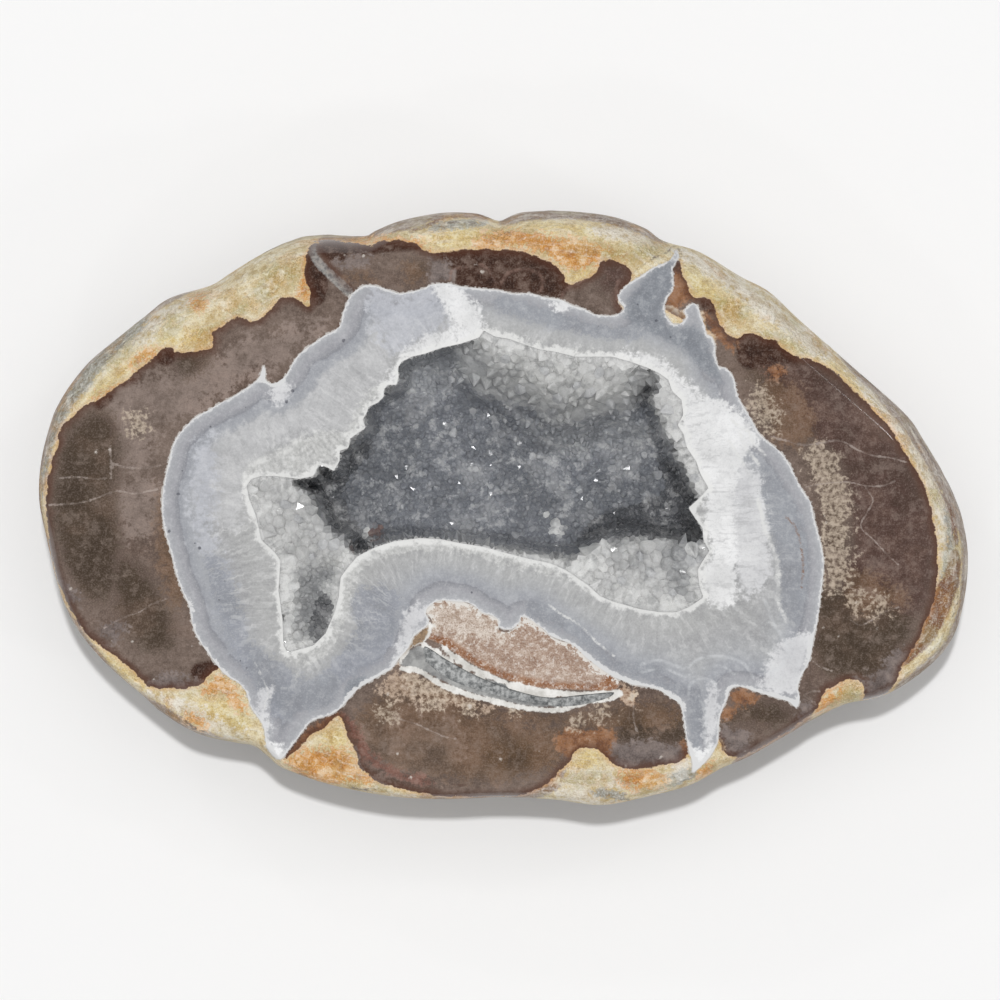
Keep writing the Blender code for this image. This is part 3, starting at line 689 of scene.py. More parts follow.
AGATE_PATCHES = [
    ("paler", "c3c3c4", "b5b5b6", "cloud", 0.4, 3.0, 0.85, [
        [(176, 440), (200, 420), (250, 395), (300, 362), (345, 335), (350, 300), (370, 292), (432, 288),
         (484, 330), (440, 346), (400, 358), (380, 392), (350, 430), (300, 440), (250, 465), (246, 500),
         (236, 530), (210, 520), (190, 500), (175, 470)]]),
    ("blue", "c0c2c9", "b2b4bb", "cloud", 0.6, 2.4, 0.8, [
        [(197, 445), (212, 440), (218, 480), (212, 520), (218, 550), (230, 575), (222, 592), (206, 562),
         (196, 530), (192, 490)],
        [(372, 292), (400, 297), (430, 288), (452, 316), (430, 338), (405, 352), (385, 350), (372, 325)],
    ]),
    ("lower_blue", "999ca5", "868990", "cloud", 0.6, 1.8, 0.85, [
        [(350, 600), (372, 584), (398, 592), (398, 620), (388, 650), (372, 668), (340, 684), (318, 700),
         (300, 700), (320, 672), (344, 650), (356, 625)],
        [(205, 560), (222, 560), (240, 600), (252, 640), (290, 668), (310, 690), (290, 716), (270, 716),
         (256, 690), (238, 660), (220, 620)]]),
    ("dark_agate", "9c9fa5", "898b91", "cloud", 0.7, 1.0, 0.92, [
        [(762, 465), (778, 478), (792, 500), (802, 520), (807, 548), (807, 585), (803, 606), (798, 622),
         (790, 626), (782, 614), (779, 590), (779, 565), (770, 540), (762, 510), (758, 490)],
        [(252, 655), (262, 655), (272, 670), (277, 684), (268, 700), (258, 690), (254, 675)],
        [(552, 608), (566, 618), (580, 626), (592, 640), (606, 652), (618, 660), (640, 662), (664, 664),
         (660, 674), (640, 678), (620, 672), (604, 664), (590, 652), (576, 640), (560, 630), (540, 622),
         (524, 612), (532, 600)],
        [(688, 690), (700, 688), (704, 710), (704, 735), (698, 752), (690, 745), (688, 720)],
        [(640, 674), (668, 679), (686, 688), (692, 700), (676, 694), (655, 686)],
        [(300, 690), (330, 670), (340, 680), (330, 705), (300, 712), (288, 720), (284, 705)],
        [(500, 296), (560, 312), (600, 325), (640, 330), (640, 340), (600, 338), (540, 325), (500, 312)],
    ]),
    ("spur", "8f9399", "787c83", "patch", 0.5, 1.3, 0.92, [
        [(655, 268), (672, 264), (674, 285), (666, 300), (664, 312), (672, 328), (690, 326), (698, 330),
         (708, 345), (718, 372), (722, 384), (704, 372), (684, 352), (655, 335), (628, 322), (626, 304),
         (634, 290), (645, 278)],
        [(348, 682), (360, 676), (366, 680), (358, 692), (350, 698), (345, 694)],
    ]),
    ("light_agate", "e0e0e1", "d0d0d2", "cloud", 0.5, 1.6, 0.85, [
        [(400, 640), (406, 612), (424, 606), (425, 618), (412, 640), (398, 658), (392, 660)],
        [(762, 672), (784, 640), (806, 632), (808, 655), (797, 690), (765, 690)],
        [(262, 690), (272, 688), (269, 712), (270, 740), (280, 750), (285, 760), (270, 752), (262, 728),
         (258, 705)],
        [(700, 470), (752, 466), (764, 510), (770, 550), (766, 580), (745, 596), (730, 560)],
        [(270, 386), (290, 384), (284, 400), (274, 402)], [(706, 690), (718, 690), (714, 740), (706, 750)],
    ]),
    ("milk", "f2f2f2", "dadada", "cloud", 0.5, 1.6, 0.9, [
        [(398, 358), (414, 344), (432, 335), (452, 331), (472, 322), (486, 331), (479, 343), (455, 350),
         (430, 358), (408, 366), (398, 384), (384, 396), (380, 388), (392, 372)],
        [(436, 284), (450, 284), (464, 293), (476, 306), (485, 322), (485, 331), (470, 330), (452, 322),
         (440, 300)],
        [(676, 396), (688, 384), (704, 397), (722, 402), (738, 410), (752, 428), (758, 442), (745, 458),
         (735, 480), (733, 510), (735, 545), (736, 580), (732, 606), (716, 606), (706, 596), (700, 576),
         (710, 552), (706, 530), (704, 500), (694, 470), (684, 450), (680, 420)],
        [(552, 300), (562, 300), (570, 305), (566, 311), (555, 311)],
        [(282, 744), (286, 752), (284, 762), (276, 756), (272, 744)],
        [(690, 748), (704, 752), (716, 748), (712, 766), (696, 774), (690, 764)],
        [(652, 356), (668, 366), (684, 382), (690, 392), (676, 396), (666, 382), (650, 369), (630, 363),
         (600, 357), (606, 353)],
    ]),
    ("rim_quartz", "cfcfcd", "b3b3b1", "grain", 1.0, 0.8, 0.85, [
        [(336, 575), (350, 562), (366, 552), (395, 544), (440, 541), (485, 548), (530, 560), (566, 572),
         (566, 578), (525, 568), (480, 557), (440, 551), (400, 554), (372, 562), (356, 580), (350, 605),
         (342, 630), (328, 652), (300, 664), (286, 658), (288, 650), (312, 648), (328, 632), (336, 605)],
        [(246, 484), (250, 466), (262, 459), (290, 445), (305, 437), (330, 432), (352, 436), (340, 450),
         (334, 470), (318, 464), (312, 476), (290, 478), (262, 476)],
        [(380, 392), (366, 410), (362, 424), (350, 440), (342, 448), (350, 428), (356, 412), (368, 394),
         (384, 384)],
        [(488, 333), (520, 340), (560, 347), (600, 351), (612, 357), (570, 357), (525, 347), (490, 340)],
    ]),
    ("specks", "5d5e66", "46474f", "grain", 0.3, 0.15, 0.75, [
        (x, y, 0.9 + 0.5 * (x % 3)) for x, y in [
            (183, 471), (179, 494), (170, 531), (186, 533), (196, 543), (200, 548), (210, 558), (226, 581),
            (220, 600), (219, 619), (241, 661), (247, 668), (255, 675), (430, 588), (472, 592), (402, 597),
            (381, 617), (363, 659), (346, 666), (344, 341), (293, 391), (287, 402), (246, 408), (211, 427),
            (480, 302), (637, 305), (552, 320), (598, 327), (615, 325), (656, 321), (670, 337), (693, 338),
        ]
    ]),
]
LENS_PATCHES = [
    ("lens_pale", "d6cbc0", "b8a595", "patch", 1.0, 2.0, 0.85, [
        [(424, 604), (450, 598), (500, 615), (500, 640), (480, 640), (455, 636), (436, 634)]]),
    ("lens_rust", "9a6840", "7d4c30", "patch", 0.5, 0.9, 0.95, [
        [(427, 638), (432, 634), (445, 636), (460, 646), (478, 658), (495, 667), (515, 674), (540, 680),
         (575, 683), (600, 682), (608, 672), (618, 682), (612, 690), (570, 689), (525, 685), (490, 673),
         (460, 656), (434, 642)]]),
]
SEAM_PATCHES = [
    ("seam_grey", "adadab", "7b7b7b", "patch", 0.5, 0.5, 1.0, [
        [(404, 652), (420, 645), (430, 650), (445, 662), (468, 674), (486, 678), (508, 684), (515, 692),
         (545, 699), (575, 697), (612, 695), (604, 699), (575, 702), (560, 707), (530, 706), (500, 700),
         (470, 692), (440, 680), (415, 668), (402, 666)]]),
    # painted shadow: a dark strip along the seam just under its upper edge
    ("seam_painted_shadow", "6c6e6f", "484b4d", "grain", 0.9, 0.4, 0.85, [
        [(426, 650), (440, 660), (460, 670), (485, 680), (510, 686), (510, 690), (490, 688), (460, 678),
         (436, 668), (426, 658)],
        [(512, 692), (530, 697), (550, 700), (572, 698), (566, 703), (540, 704), (518, 700)]]),
    ("seam_white", "eceae6", "c4c1bb", "patch", 0.6, 0.3, 1.0, [
        [(422, 641), (430, 646), (442, 654), (452, 660), (452, 666), (444, 664), (434, 656), (424, 648)],
        [(440, 643), (455, 653), (472, 664), (490, 673), (508, 681), (508, 685), (488, 677), (468, 668),
         (450, 657)],
        [(508, 682), (520, 683), (535, 687), (560, 690), (600, 691), (619, 689), (616, 695), (585, 697),
         (572, 698), (560, 695), (548, 699), (535, 697), (520, 693), (510, 690)],
        [(400, 666), (415, 667), (428, 672), (440, 680), (455, 687), (470, 692), (485, 696), (500, 699),
         (515, 703), (530, 706), (550, 707), (565, 706), (575, 702), (590, 698), (607, 697), (620, 690),
         (622, 694), (612, 700), (590, 703), (575, 708), (560, 712), (540, 712), (515, 708), (498, 704),
         (480, 700), (462, 695), (445, 689), (430, 680), (415, 672), (402, 671)],
        [(402, 662), (412, 648), (424, 642), (432, 632), (430, 622), (424, 628), (412, 640), (400, 656)],
        (480, 677, 6), (467, 669, 5), (448, 661, 5), (437, 652, 4)]),
    ("fragment", "a58a6b", "6f5a48", "grain", 0.5, 0.4, 0.95, [
        [(414, 634), (424, 625), (428, 630), (424, 640), (414, 646), (404, 654), (402, 652), (412, 642)]]),
]


def patches(points, edge, shapes, reach=3.0):
    """How far inside any of the shapes a point is, in soft edges. A shape is a traced outline or a disc."""
    best = np.full(len(points), -reach)
    for shape in shapes:
        if isinstance(shape, tuple):
            middle, radius = (np.array(shape[:2]) - CENTRE) * (PIXEL, -PIXEL), shape[2] * PIXEL
            best = np.maximum(best, (radius - np.linalg.norm(points - middle, axis=1)) / (edge * MM))
            continue
        loop = on_face(shape)
        margin = reach * edge * MM
        near = np.all((points > loop.min(0) - margin) & (points < loop.max(0) + margin), 1)
        if near.any():
            best[near] = np.maximum(best[near], depth_inside(points[near], loop) / (edge * MM))
    return np.clip(best, -reach, reach)


edge_depth = np.zeros(len(stone_points))
edge_depth[:len(plan)] = edge_gap
for k in range(side_steps + 3):
    above = slice(ring_starts[k], ring_starts[k] + outline_steps)
    here = slice(ring_starts[k + 1], ring_starts[k + 1] + outline_steps)
    edge_depth[here] = edge_depth[above] - np.linalg.norm(stone_points[here] - stone_points[above], axis=1)
outline_run = np.arange(outline_steps) * np.linalg.norm(np.diff(outline, axis=0), axis=1).mean()
calm_edge = sum(np.roll(hollow_edge, k, 0) for k in range(-14, 15)) / 29
hollow_gap = distance_to(plan, hollow_edge)[0]
zone = {
    "along": outline_run[edge_number] / MM,
    "agate": depth_inside(plan, agate_edge) / MM,
    "hollow": np.where(inside(plan, hollow_edge), -1, 1) * hollow_gap / MM,
    "column": distance_to(plan, calm_edge)[1] * face_step / MM,
    "lens": patches(plan, 1.0, [LENS]),
    "cracks": lines(plan, *CRACKS),
    "lobe_edges": lines(
        plan, ([(450, 280), (452, 272), (458, 269), (468, 268)], 0.2),
        ([(480, 265), (488, 269), (493, 277), (496, 286)], 0.2),
        ([(502, 284), (506, 276), (514, 271), (525, 269), (535, 272), (542, 279), (543, 285),
          (540, 292)], 0.25),
        ([(561, 301), (563, 294), (570, 287), (580, 282), (592, 276)], 0.2),
        ([(619, 280), (616, 288), (617, 297), (622, 307)], 0.25),
    ),
    "dark_lines": lines(
        plan, ([(628, 277), (640, 268), (650, 261), (656, 257), (668, 252), (673, 246), (677, 247),
                (681, 253),
                   (680, 259), (676, 266)], 0.14),
        ([(530, 219), (560, 217), (600, 218), (625, 225)], 0.14),
        ([(446, 223), (462, 222), (478, 224)], 0.14), ([(862, 374), (880, 391), (900, 412), (918, 437),
                                                        (934, 464), (944, 486)], 0.16),
        ([(956, 582), (957, 600), (950, 622)], 0.12), ([(182, 716), (196, 728), (208, 732)], 0.14),
        ([(300, 773), (308, 777)], 0.2), ([(352, 788), (362, 789), (378, 790)], 0.18),
        ([(430, 780), (438, 781)], 0.2), ([(453, 784), (470, 785)], 0.18), ([(620, 799), (630, 798)], 0.2),
        ([(402, 653), (412, 648), (420, 644), (432, 640)], 0.12),
    ),
    "quartz_lines": lines(
        plan, ([(758, 500), (765, 530), (775, 555), (778, 580), (777, 600), (785, 618), (795, 626)], 0.30),
        ([(588, 586), (604, 601), (630, 606), (660, 612), (680, 613)], 0.25),
        ([(548, 604), (560, 613), (580, 625), (600, 645), (617, 658)], 0.16),
        ([(299, 440), (285, 452), (262, 461), (250, 468), (245, 478), (250, 500), (257, 522), (266, 540),
          (283, 558), (279, 575), (281, 600), (285, 625), (283, 645)], 0.34),
        ([(342, 578), (352, 566), (372, 552), (395, 545), (440, 542), (485, 549), (530, 560),
          (566, 571)], 0.40),
        ([(255, 662), (268, 690), (264, 710), (262, 730)], 0.12),
        ([(272, 690), (270, 710), (268, 735)], 0.12), ([(738, 430), (744, 446), (762, 470)], 0.22),
        ([(748, 425), (752, 442), (768, 458)], 0.18), ([(728, 440), (738, 456), (752, 480)], 0.18),
        ([(730, 420), (745, 430), (762, 440)], 0.15),
    ),
    "soft_lines": lines(
        plan, ([(640, 664), (660, 660), (684, 668), (700, 658), (724, 656), (744, 664), (754, 680)], 0.22),
        ([(640, 672), (664, 668), (684, 676), (700, 668), (722, 666), (736, 676)], 0.18),
        ([(688, 700), (690, 684), (704, 678), (716, 686), (716, 700)], 0.20),
        ([(764, 600), (774, 625), (786, 645), (782, 664), (766, 674)], 0.25),
        ([(700, 700), (706, 715), (704, 750)], 0.2),
    ),
    "rusty_line": lines(plan, ([(785, 517), (790, 521), (796, 530), (800, 545), (802, 560), (802, 575),
                                (800, 590)], 0.16)),
    "wide_white": patches(plan, 1.0, [
        [(556, 632), (640, 674), (692, 690), (686, 712), (632, 690), (556, 652)],
        [(686, 735), (700, 752), (715, 745), (712, 772), (690, 778)],
        [(720, 682), (760, 684), (802, 694), (802, 714), (760, 706), (726, 704)],
        [(795, 665), (804, 640), (812, 620), (824, 610), (812, 660), (804, 680)],
        [(262, 735), (285, 742), (288, 765), (268, 758)], [(255, 380), (268, 360), (292, 380), (276, 396)],
        [(186, 600), (200, 600), (230, 672), (250, 700), (236, 700)],
        [(340, 690), (372, 672), (400, 654), (402, 664), (350, 706)],
    ]),
}
zone["agate"][agate_first:hollow_first] = 0
zone["hollow"][hollow_first:seam_first] = 0
for name, _, _, _, _, edge, _, shapes in ROCK_PATCHES + AGATE_PATCHES + LENS_PATCHES + SEAM_PATCHES:
    zone[name] = patches(plan, edge, shapes)
zone["paler"] = np.minimum(zone["paler"], (zone["agate"] - 3.2) / 1.4)
for name, values in zone.items():
    spread = np.zeros(len(stone_points))
    spread[:len(plan)] = values
    for first in ring_starts[1:]:
        spread[first:first + outline_steps] = values[:outline_steps]
    write_attribute(stone, name, spread)
write_attribute(stone, "deep", edge_depth / MM)


# The stone's finishes
# Polished host rock, agate and quartz are glossy; the ochre rind and the skin behind the face are dull and
# rough. Each finish lays its patches over one another, and grain breaks up their edges and their colour.
gleam = 0.013


def colour(code):
    """The surface's own colour where the eye sees a screen colour such as b5a892, less the room's gleam."""
    parts = [int(code[k:k + 2], 16) / 255 for k in (0, 2, 4)]
    parts = [p / 12.92 if p <= 0.04045 else ((p + 0.055) / 1.055) ** 2.4 for p in parts]
    return (*[max(p - gleam, 0.001) for p in parts], 1)


def feed(tree, socket, value):
    if isinstance(value, bpy.types.NodeSocket):
        tree.links.new(value, socket)
    else:
        socket.default_value = value


def maths(tree, operation, a, b=0.0, c=0.0):
    node = tree.nodes.new("ShaderNodeMath")
    node.operation = operation
    for socket, value in zip(node.inputs, (a, b, c)):
        feed(tree, socket, value)
    return node.outputs[0]


def ease(tree, value, low, high, bottom=0.0, top=1.0):
    """A smooth rise from bottom to top as the value goes from low to high."""
    node = tree.nodes.new("ShaderNodeMapRange")
    node.interpolation_type = "SMOOTHSTEP"
    names = ("Value", "From Min", "From Max", "To Min", "To Max")
    for name, number in zip(names, (value, low, high, bottom, top)):
        feed(tree, node.inputs[name], number)
    return node.outputs[0]


def blend(tree, share, first, second):
    node = tree.nodes.new("ShaderNodeMix")
    node.data_type = "RGBA"
    feed(tree, node.inputs["Factor"], share)
    feed(tree, node.inputs[6], first)
    feed(tree, node.inputs[7], second)
    return node.outputs[2]


def zone_value(tree, name):
    node = tree.nodes.new("ShaderNodeAttribute")
    node.attribute_name = name
    return node.outputs["Fac"]


def make_stone_grain():
    """Noise at the sizes of a stone's grain, from 0 to 1: grit to sweep are round blotches, run follows the
    outline's layers and columns cross the quartz from the hollow outwards."""
    group = bpy.data.node_groups.new("stone_grain", "ShaderNodeTree")
    group.interface.new_socket("Shift", in_out="INPUT", socket_type="NodeSocketFloat")
    inlet, outlet = group.nodes.new("NodeGroupInput"), group.nodes.new("NodeGroupOutput")
    moved = group.nodes.new("ShaderNodeVectorMath")
    group.links.new(group.nodes.new("ShaderNodeTexCoord").outputs["Object"], moved.inputs[0])
    group.links.new(inlet.outputs[0], moved.inputs[1])
    place = moved.outputs[0]

    def layer_place(across, across_mm, into, into_mm):
        node = group.nodes.new("ShaderNodeCombineXYZ")
        feed(group, node.inputs[0], maths(group, "DIVIDE", zone_value(group, across), across_mm))
        feed(group, node.inputs[1], maths(group, "DIVIDE", zone_value(group, into), into_mm))
        return node.outputs[0]

    sizes = [
        ("grit", place, 0.17, 2, 0.6), ("grain", place, 0.5, 4, 0.65), ("patch", place, 1.5, 5, 0.68),
        ("cloud", place, 4.2, 4, 0.6), ("sweep", place, 10, 3, 0.5),
        ("run", layer_place("along", 5.0, "deep", 0.5), None, 5, 0.65),
        ("columns", layer_place("column", 0.5, "hollow", 2.8), None, 4, 0.65),
    ]
    for name, spot, size_mm, detail, roughness in sizes:
        node = group.nodes.new("ShaderNodeTexNoise")
        group.links.new(spot, node.inputs["Vector"])
        node.inputs["Scale"].default_value = 1 if size_mm is None else 1 / (size_mm * MM)
        node.inputs["Detail"].default_value = detail
        node.inputs["Roughness"].default_value = roughness
        group.interface.new_socket(name, in_out="OUTPUT", socket_type="NodeSocketFloat")
        group.links.new(ease(group, node.outputs[0], 0.30, 0.70), outlet.inputs[name])
    return group


stone_grain = make_stone_grain()


def new_finish(name, roughness, shift, ior=1.54):
    material = bpy.data.materials.new(name)
    material.use_nodes = True
    shader = material.node_tree.nodes["Principled BSDF"]
    shader.inputs["Roughness"].default_value = roughness
    shader.inputs["IOR"].default_value = ior
    grain = material.node_tree.nodes.new("ShaderNodeGroup")
    grain.node_tree = stone_grain
    grain.inputs["Shift"].default_value = shift
    return material, material.node_tree, shader, grain.outputs


def bump(tree, shader, height, distance_mm, strength=1.0):
    node = tree.nodes.new("ShaderNodeBump")
    node.inputs["Strength"].default_value = strength
    node.inputs["Distance"].default_value = distance_mm * MM
    tree.links.new(height, node.inputs["Height"])
    tree.links.new(node.outputs[0], shader.inputs["Normal"])


def lay(tree, grain, ground, patch):
    """Lays one patch over the ground: its edge made ragged, its colour mottled from dark to pale."""
    name, pale, dark, mottling, ragged, _, strength, _ = patch
    wander = maths(tree, "MULTIPLY_ADD", grain["grain"], ragged, zone_value(tree, name))
    wander = maths(tree, "MULTIPLY_ADD", grain["patch"], ragged, maths(tree, "SUBTRACT", wander, ragged))
    cover = ease(tree, wander, -0.3, 0.3, 0, strength)
    return blend(tree, cover, ground, blend(tree, grain[mottling], colour(dark), colour(pale)))


def lay_all(tree, grain, ground, laid):
    for patch in laid:
        ground = lay(tree, grain, ground, patch)
    return ground


def tint(tree, grain, ground, size, start, end, share, code):
    """Adds a colour where the noise of one size goes from start to end, up to that share."""
    return blend(tree, ease(tree, grain[size], start, end, 0, share), ground, colour(code))


def stony(tree, grain, ground, pale, dark, share):
    """A stone's own unevenness: grit, grains and blotches that are paler or darker than the ground."""
    for size, part in (("grit", 0.8), ("grain", 0.8), ("patch", 1.0)):
        ground = tint(tree, grain, ground, size, 0.55, 1.0, share * part, pale)
        ground = tint(tree, grain, ground, size, 0.45, 0.0, share * part, dark)
    return ground


def veins(tree, grain, ground, size, width, code, strength):
    """Thin wandering lines where the noise passes its middle, in some places only."""
    middle = maths(tree, "ABSOLUTE", maths(tree, "SUBTRACT", grain[size], 0.5))
    place = ease(tree, grain["cloud"], 0.5, 0.9, 0, strength)
    share = maths(tree, "MULTIPLY", ease(tree, middle, width, 0.0), place)
    return blend(tree, share, ground, colour(code))


def thin_line(tree, grain, ground, name, code, strength, wander=0.5):
    """A traced line that wavers and is fainter in places."""
    nearest = maths(tree, "SUBTRACT", zone_value(tree, name), wander)
    wobble = maths(tree, "MULTIPLY_ADD", grain["grain"], 2 * wander, nearest)
    fade = ease(tree, grain["patch"], 0.1, 0.8, 0.25 * strength, strength)
    return blend(tree, maths(tree, "MULTIPLY", ease(tree, wobble, 1.2, 0.2), fade), ground, colour(code))


rind_patches, broad_patches, small_patches = ROCK_PATCHES[:7], ROCK_PATCHES[8:12], ROCK_PATCHES[12:]
*agate_patches, specks = AGATE_PATCHES

rock_finish, t, shader, grain = new_finish("polished_host_rock", 0.10, 0.1)
rind = blend(t, grain["patch"], colour("e6d09c"), colour("fbf1d4"))
rind = lay_all(t, grain, rind, rind_patches)
rind = tint(t, grain, rind, "run", 0.60, 1.0, 0.4, "f7f1e4")
rind = tint(t, grain, rind, "run", 0.40, 0.0, 0.25, "b2925f")
rind = tint(t, grain, rind, "cloud", 0.6, 1.0, 0.35, "ecb469")
rind = tint(t, grain, rind, "cloud", 0.35, 0.0, 0.25, "c9c291")
rind = stony(t, grain, rind, "fdf9ee", "8f6c3a", 0.32)
rind = veins(t, grain, rind, "patch", 0.08, "80603a", 0.6)
brown_depth = maths(t, "ADD", zone_value(t, "brown"), maths(t, "MULTIPLY_ADD", grain["patch"], 0.36, -0.18))
rind = blend(t, ease(t, brown_depth, -0.5, -0.05, 0, 0.30), rind, colour("b87a40"))
rock = blend(t, grain["sweep"], colour("6a5b53"), colour("7b6c63"))
rock = lay_all(t, grain, rock, broad_patches)
rock = tint(t, grain, rock, "cloud", 0.55, 1.0, 0.15, "846c5f")
rock = tint(t, grain, rock, "cloud", 0.45, 0.0, 0.25, "50443c")
rock = veins(t, grain, rock, "patch", 0.07, "a89789", 0.16)
rock = lay_all(t, grain, rock, small_patches)
rock = stony(t, grain, rock, "a5948a", "30261f", 0.22)
rock = blend(t, ease(t, brown_depth, 1.1, 0.0, 0, 0.7), rock, colour("543529"))
ground = blend(t, ease(t, brown_depth, -0.06, 0.06), rind, rock)
ground = thin_line(t, grain, ground, "lobe_edges", "8f756b", 0.5)
ground = thin_line(t, grain, ground, "dark_lines", "5d483f", 0.7)
ground = thin_line(t, grain, ground, "cracks", "b9aca4", 0.5, 1.0)
lens = blend(t, grain["patch"], colour("a48b7b"), colour("baa596"))
lens = lay_all(t, grain, lens, LENS_PATCHES)
lens = tint(t, grain, lens, "grain", 0.45, 1.0, 0.5, "ebe3dc")
lens = tint(t, grain, lens, "grit", 0.55, 0.05, 0.45, "80604e")
lens = stony(t, grain, lens, "e6ddd2", "5e4534", 0.16)
border = maths(t, "MULTIPLY_ADD", grain["grain"], 0.9, zone_value(t, "agate"))
border = maths(t, "MULTIPLY_ADD", grain["patch"], 0.8, maths(t, "SUBTRACT", border, 0.85))
lens = blend(t, ease(t, border, -0.45, -0.2, 0, 0.9), lens, colour("dedad4"))
ground = blend(t, ease(t, zone_value(t, "lens"), -0.06, 0.06), ground, lens)
ground = lay_all(t, grain, ground, SEAM_PATCHES)
thin_white = maths(t, "MULTIPLY_ADD", grain["grain"], 0.25, maths(t, "ADD", zone_value(t, "agate"), -0.12))
ground = blend(t, ease(t, thin_white, -0.14, -0.05, 0, 0.75), ground, colour("cdcac6"))
t.links.new(ground, shader.inputs["Base Color"])
t.links.new(ease(t, brown_depth, -0.05, 0.05, 0.62, 0.10), shader.inputs["Roughness"])
pits = maths(t, "ADD", grain["patch"], grain["grain"])
rough_rind = maths(t, "MULTIPLY", ease(t, brown_depth, 0.0, -0.4), pits)
bump(t, shader, rough_rind, 0.18, 0.8)

agate_finish, t, shader, grain = new_finish("polished_agate", 0.08, 0.3)
wave = maths(t, "MULTIPLY_ADD", grain["sweep"], 0.7, maths(t, "MULTIPLY_ADD", grain["patch"], 0.2, -0.45))
growing = ease(t, zone_value(t, "agate"), 0.2, 2.0)
agate_depth = maths(t, "ADD", zone_value(t, "agate"), maths(t, "MULTIPLY", wave, growing))
banding = t.nodes.new("ShaderNodeValToRGB")
band_stops = [
    (0.0, "b6b7bb"), (0.5, "a7a8ac"), (1.2, "a1a1a6"), (1.62, "939499"), (1.80, "8c8d93"), (1.95, "9b9da3"),
    (2.8, "a4a6ab"), (4.2, "a9aaac"), (6.0, "a6a6a7"), (7.5, "a6a6a6"),
]
band_depth = 8.0
ramp = banding.color_ramp.elements
for stop, (depth, code) in enumerate(band_stops):
    place = ramp[0] if stop == 0 else ramp.new(depth / band_depth)
    place.position = depth / band_depth
    place.color = colour(code)
ramp.remove(ramp[-1])
t.links.new(maths(t, "DIVIDE", agate_depth, band_depth), banding.inputs[0])
agate = banding.outputs[0]
near_hollow = maths(t, "MULTIPLY_ADD", grain["patch"], 0.8, zone_value(t, "hollow"))
agate = blend(t, ease(t, near_hollow, 4.6, 1.6, 0, 0.7), agate, colour("b3b3b2"))
agate = lay_all(t, grain, agate, agate_patches)
sugary = ease(t, zone_value(t, "agate"), 2.0, 5.0)
for start, end, share, code in ((0.55, 1.0, 0.34, "dededd"), (0.45, 0.0, 0.30, "888889")):
    stripes = ease(t, grain["columns"], start, end, 0, share)
    agate = blend(t, maths(t, "MULTIPLY", sugary, stripes), agate, colour(code))
agate = stony(t, grain, agate, "e2e2e3", "7f8084", 0.13)
agate = thin_line(t, grain, agate, "soft_lines", "d0d2d4", 0.5, 0.3)
agate = thin_line(t, grain, agate, "quartz_lines", "dededc", 0.75)
agate = thin_line(t, grain, agate, "rusty_line", "86664f", 0.8)
rim = maths(t, "MULTIPLY_ADD", grain["grain"], -0.3, zone_value(t, "hollow"))
rim = maths(t, "MULTIPLY_ADD", grain["patch"], -0.7, rim)
agate = blend(t, ease(t, rim, 0.25, -0.30, 0, 0.75), agate, colour("e4e4e2"))
agate = lay(t, grain, agate, specks)
white_width = maths(t, "MULTIPLY_ADD", grain["patch"], 1.0, zone_value(t, "wide_white"))
white_width = ease(t, white_width, 0.4, 1.6, 0.12, 0.50)
white_depth = maths(t, "MULTIPLY_ADD", grain["grain"], 0.3, zone_value(t, "agate"))
white_depth = maths(t, "SUBTRACT", white_depth, white_width)
agate = blend(t, ease(t, white_depth, 0.26, 0.10, 0, 0.9), agate, colour("d9d9d9"))
t.links.new(agate, shader.inputs["Base Color"])

skin_finish, t, shader, grain = new_finish("weathered_skin", 0.6, 0.5)
skin = blend(t, grain["patch"], colour("7d6a5f"), colour("aa9a8c"))
skin = tint(t, grain, skin, "cloud", 0.55, 0.9, 0.75, "c6a970")
skin = tint(t, grain, skin, "sweep", 0.55, 0.9, 0.55, "adaca4")
skin = tint(t, grain, skin, "cloud", 0.40, 0.1, 0.55, "664f44")
below_face = maths(t, "ADD", zone_value(t, "deep"), grain["patch"])
below_face = maths(t, "MULTIPLY_ADD", grain["cloud"], 3.5, below_face)
ochre = blend(t, grain["patch"], colour("e0c993"), colour("f7ecce"))
ochre = lay_all(t, grain, ochre, rind_patches)
ochre = tint(t, grain, ochre, "cloud", 0.45, 0.65, 0.65, "ead9b0")
ochre = tint(t, grain, ochre, "run", 0.5, 1.0, 0.5, "c4b3a6")
skin = blend(t, ease(t, below_face, -7.0, 1.0, 0, 0.95), skin, ochre)
skin = stony(t, grain, skin, "e4dac9", "4a3a30", 0.30)
t.links.new(skin, shader.inputs["Base Color"])
t.links.new(ease(t, grain["patch"], 0.0, 1.0, 0.5, 0.75), shader.inputs["Roughness"])
bump(t, shader, grain["patch"], 0.4, 0.8)

seam_finish, t, shader, grain = new_finish("seam_wall", 0.3, 0.7)
wall = blend(t, grain["grain"], colour("606263"), colour("c2c3c2"))
t.links.new(wall, shader.inputs["Base Color"])

for finish in (rock_finish, agate_finish, skin_finish, seam_finish):
    stone.data.materials.append(finish)

# The druse
# Quartz points grew on the hollow's walls. They are one crust, closed all round, in which each crystal is a
# many-sided pyramid: small in the deep part, coarser on the ledges, and the big ones stand where they were
# traced.
fine_gap, coarse_gap = 0.42 * MM, 0.85 * MM
gap_range = (0.6, 1.7)
lump_rise, lump_span = 0.55 * MM, 2.4 * MM
point_rise, valley_fall = 0.34, 0.04
point_lean = 0.30
point_heights = (0.6, 1.3)
rim_step, valley_step = 0.01 * MM, 0.03 * MM
big_cell = 1.3
try_count = 90000
ledge_edge, rim_room = 0.6, 0.6
under_step, under_margin = 0.9 * MM, 0.5 * MM
under_share, under_drop = 0.7, 0.3 * MM
rng = np.random.default_rng(11)

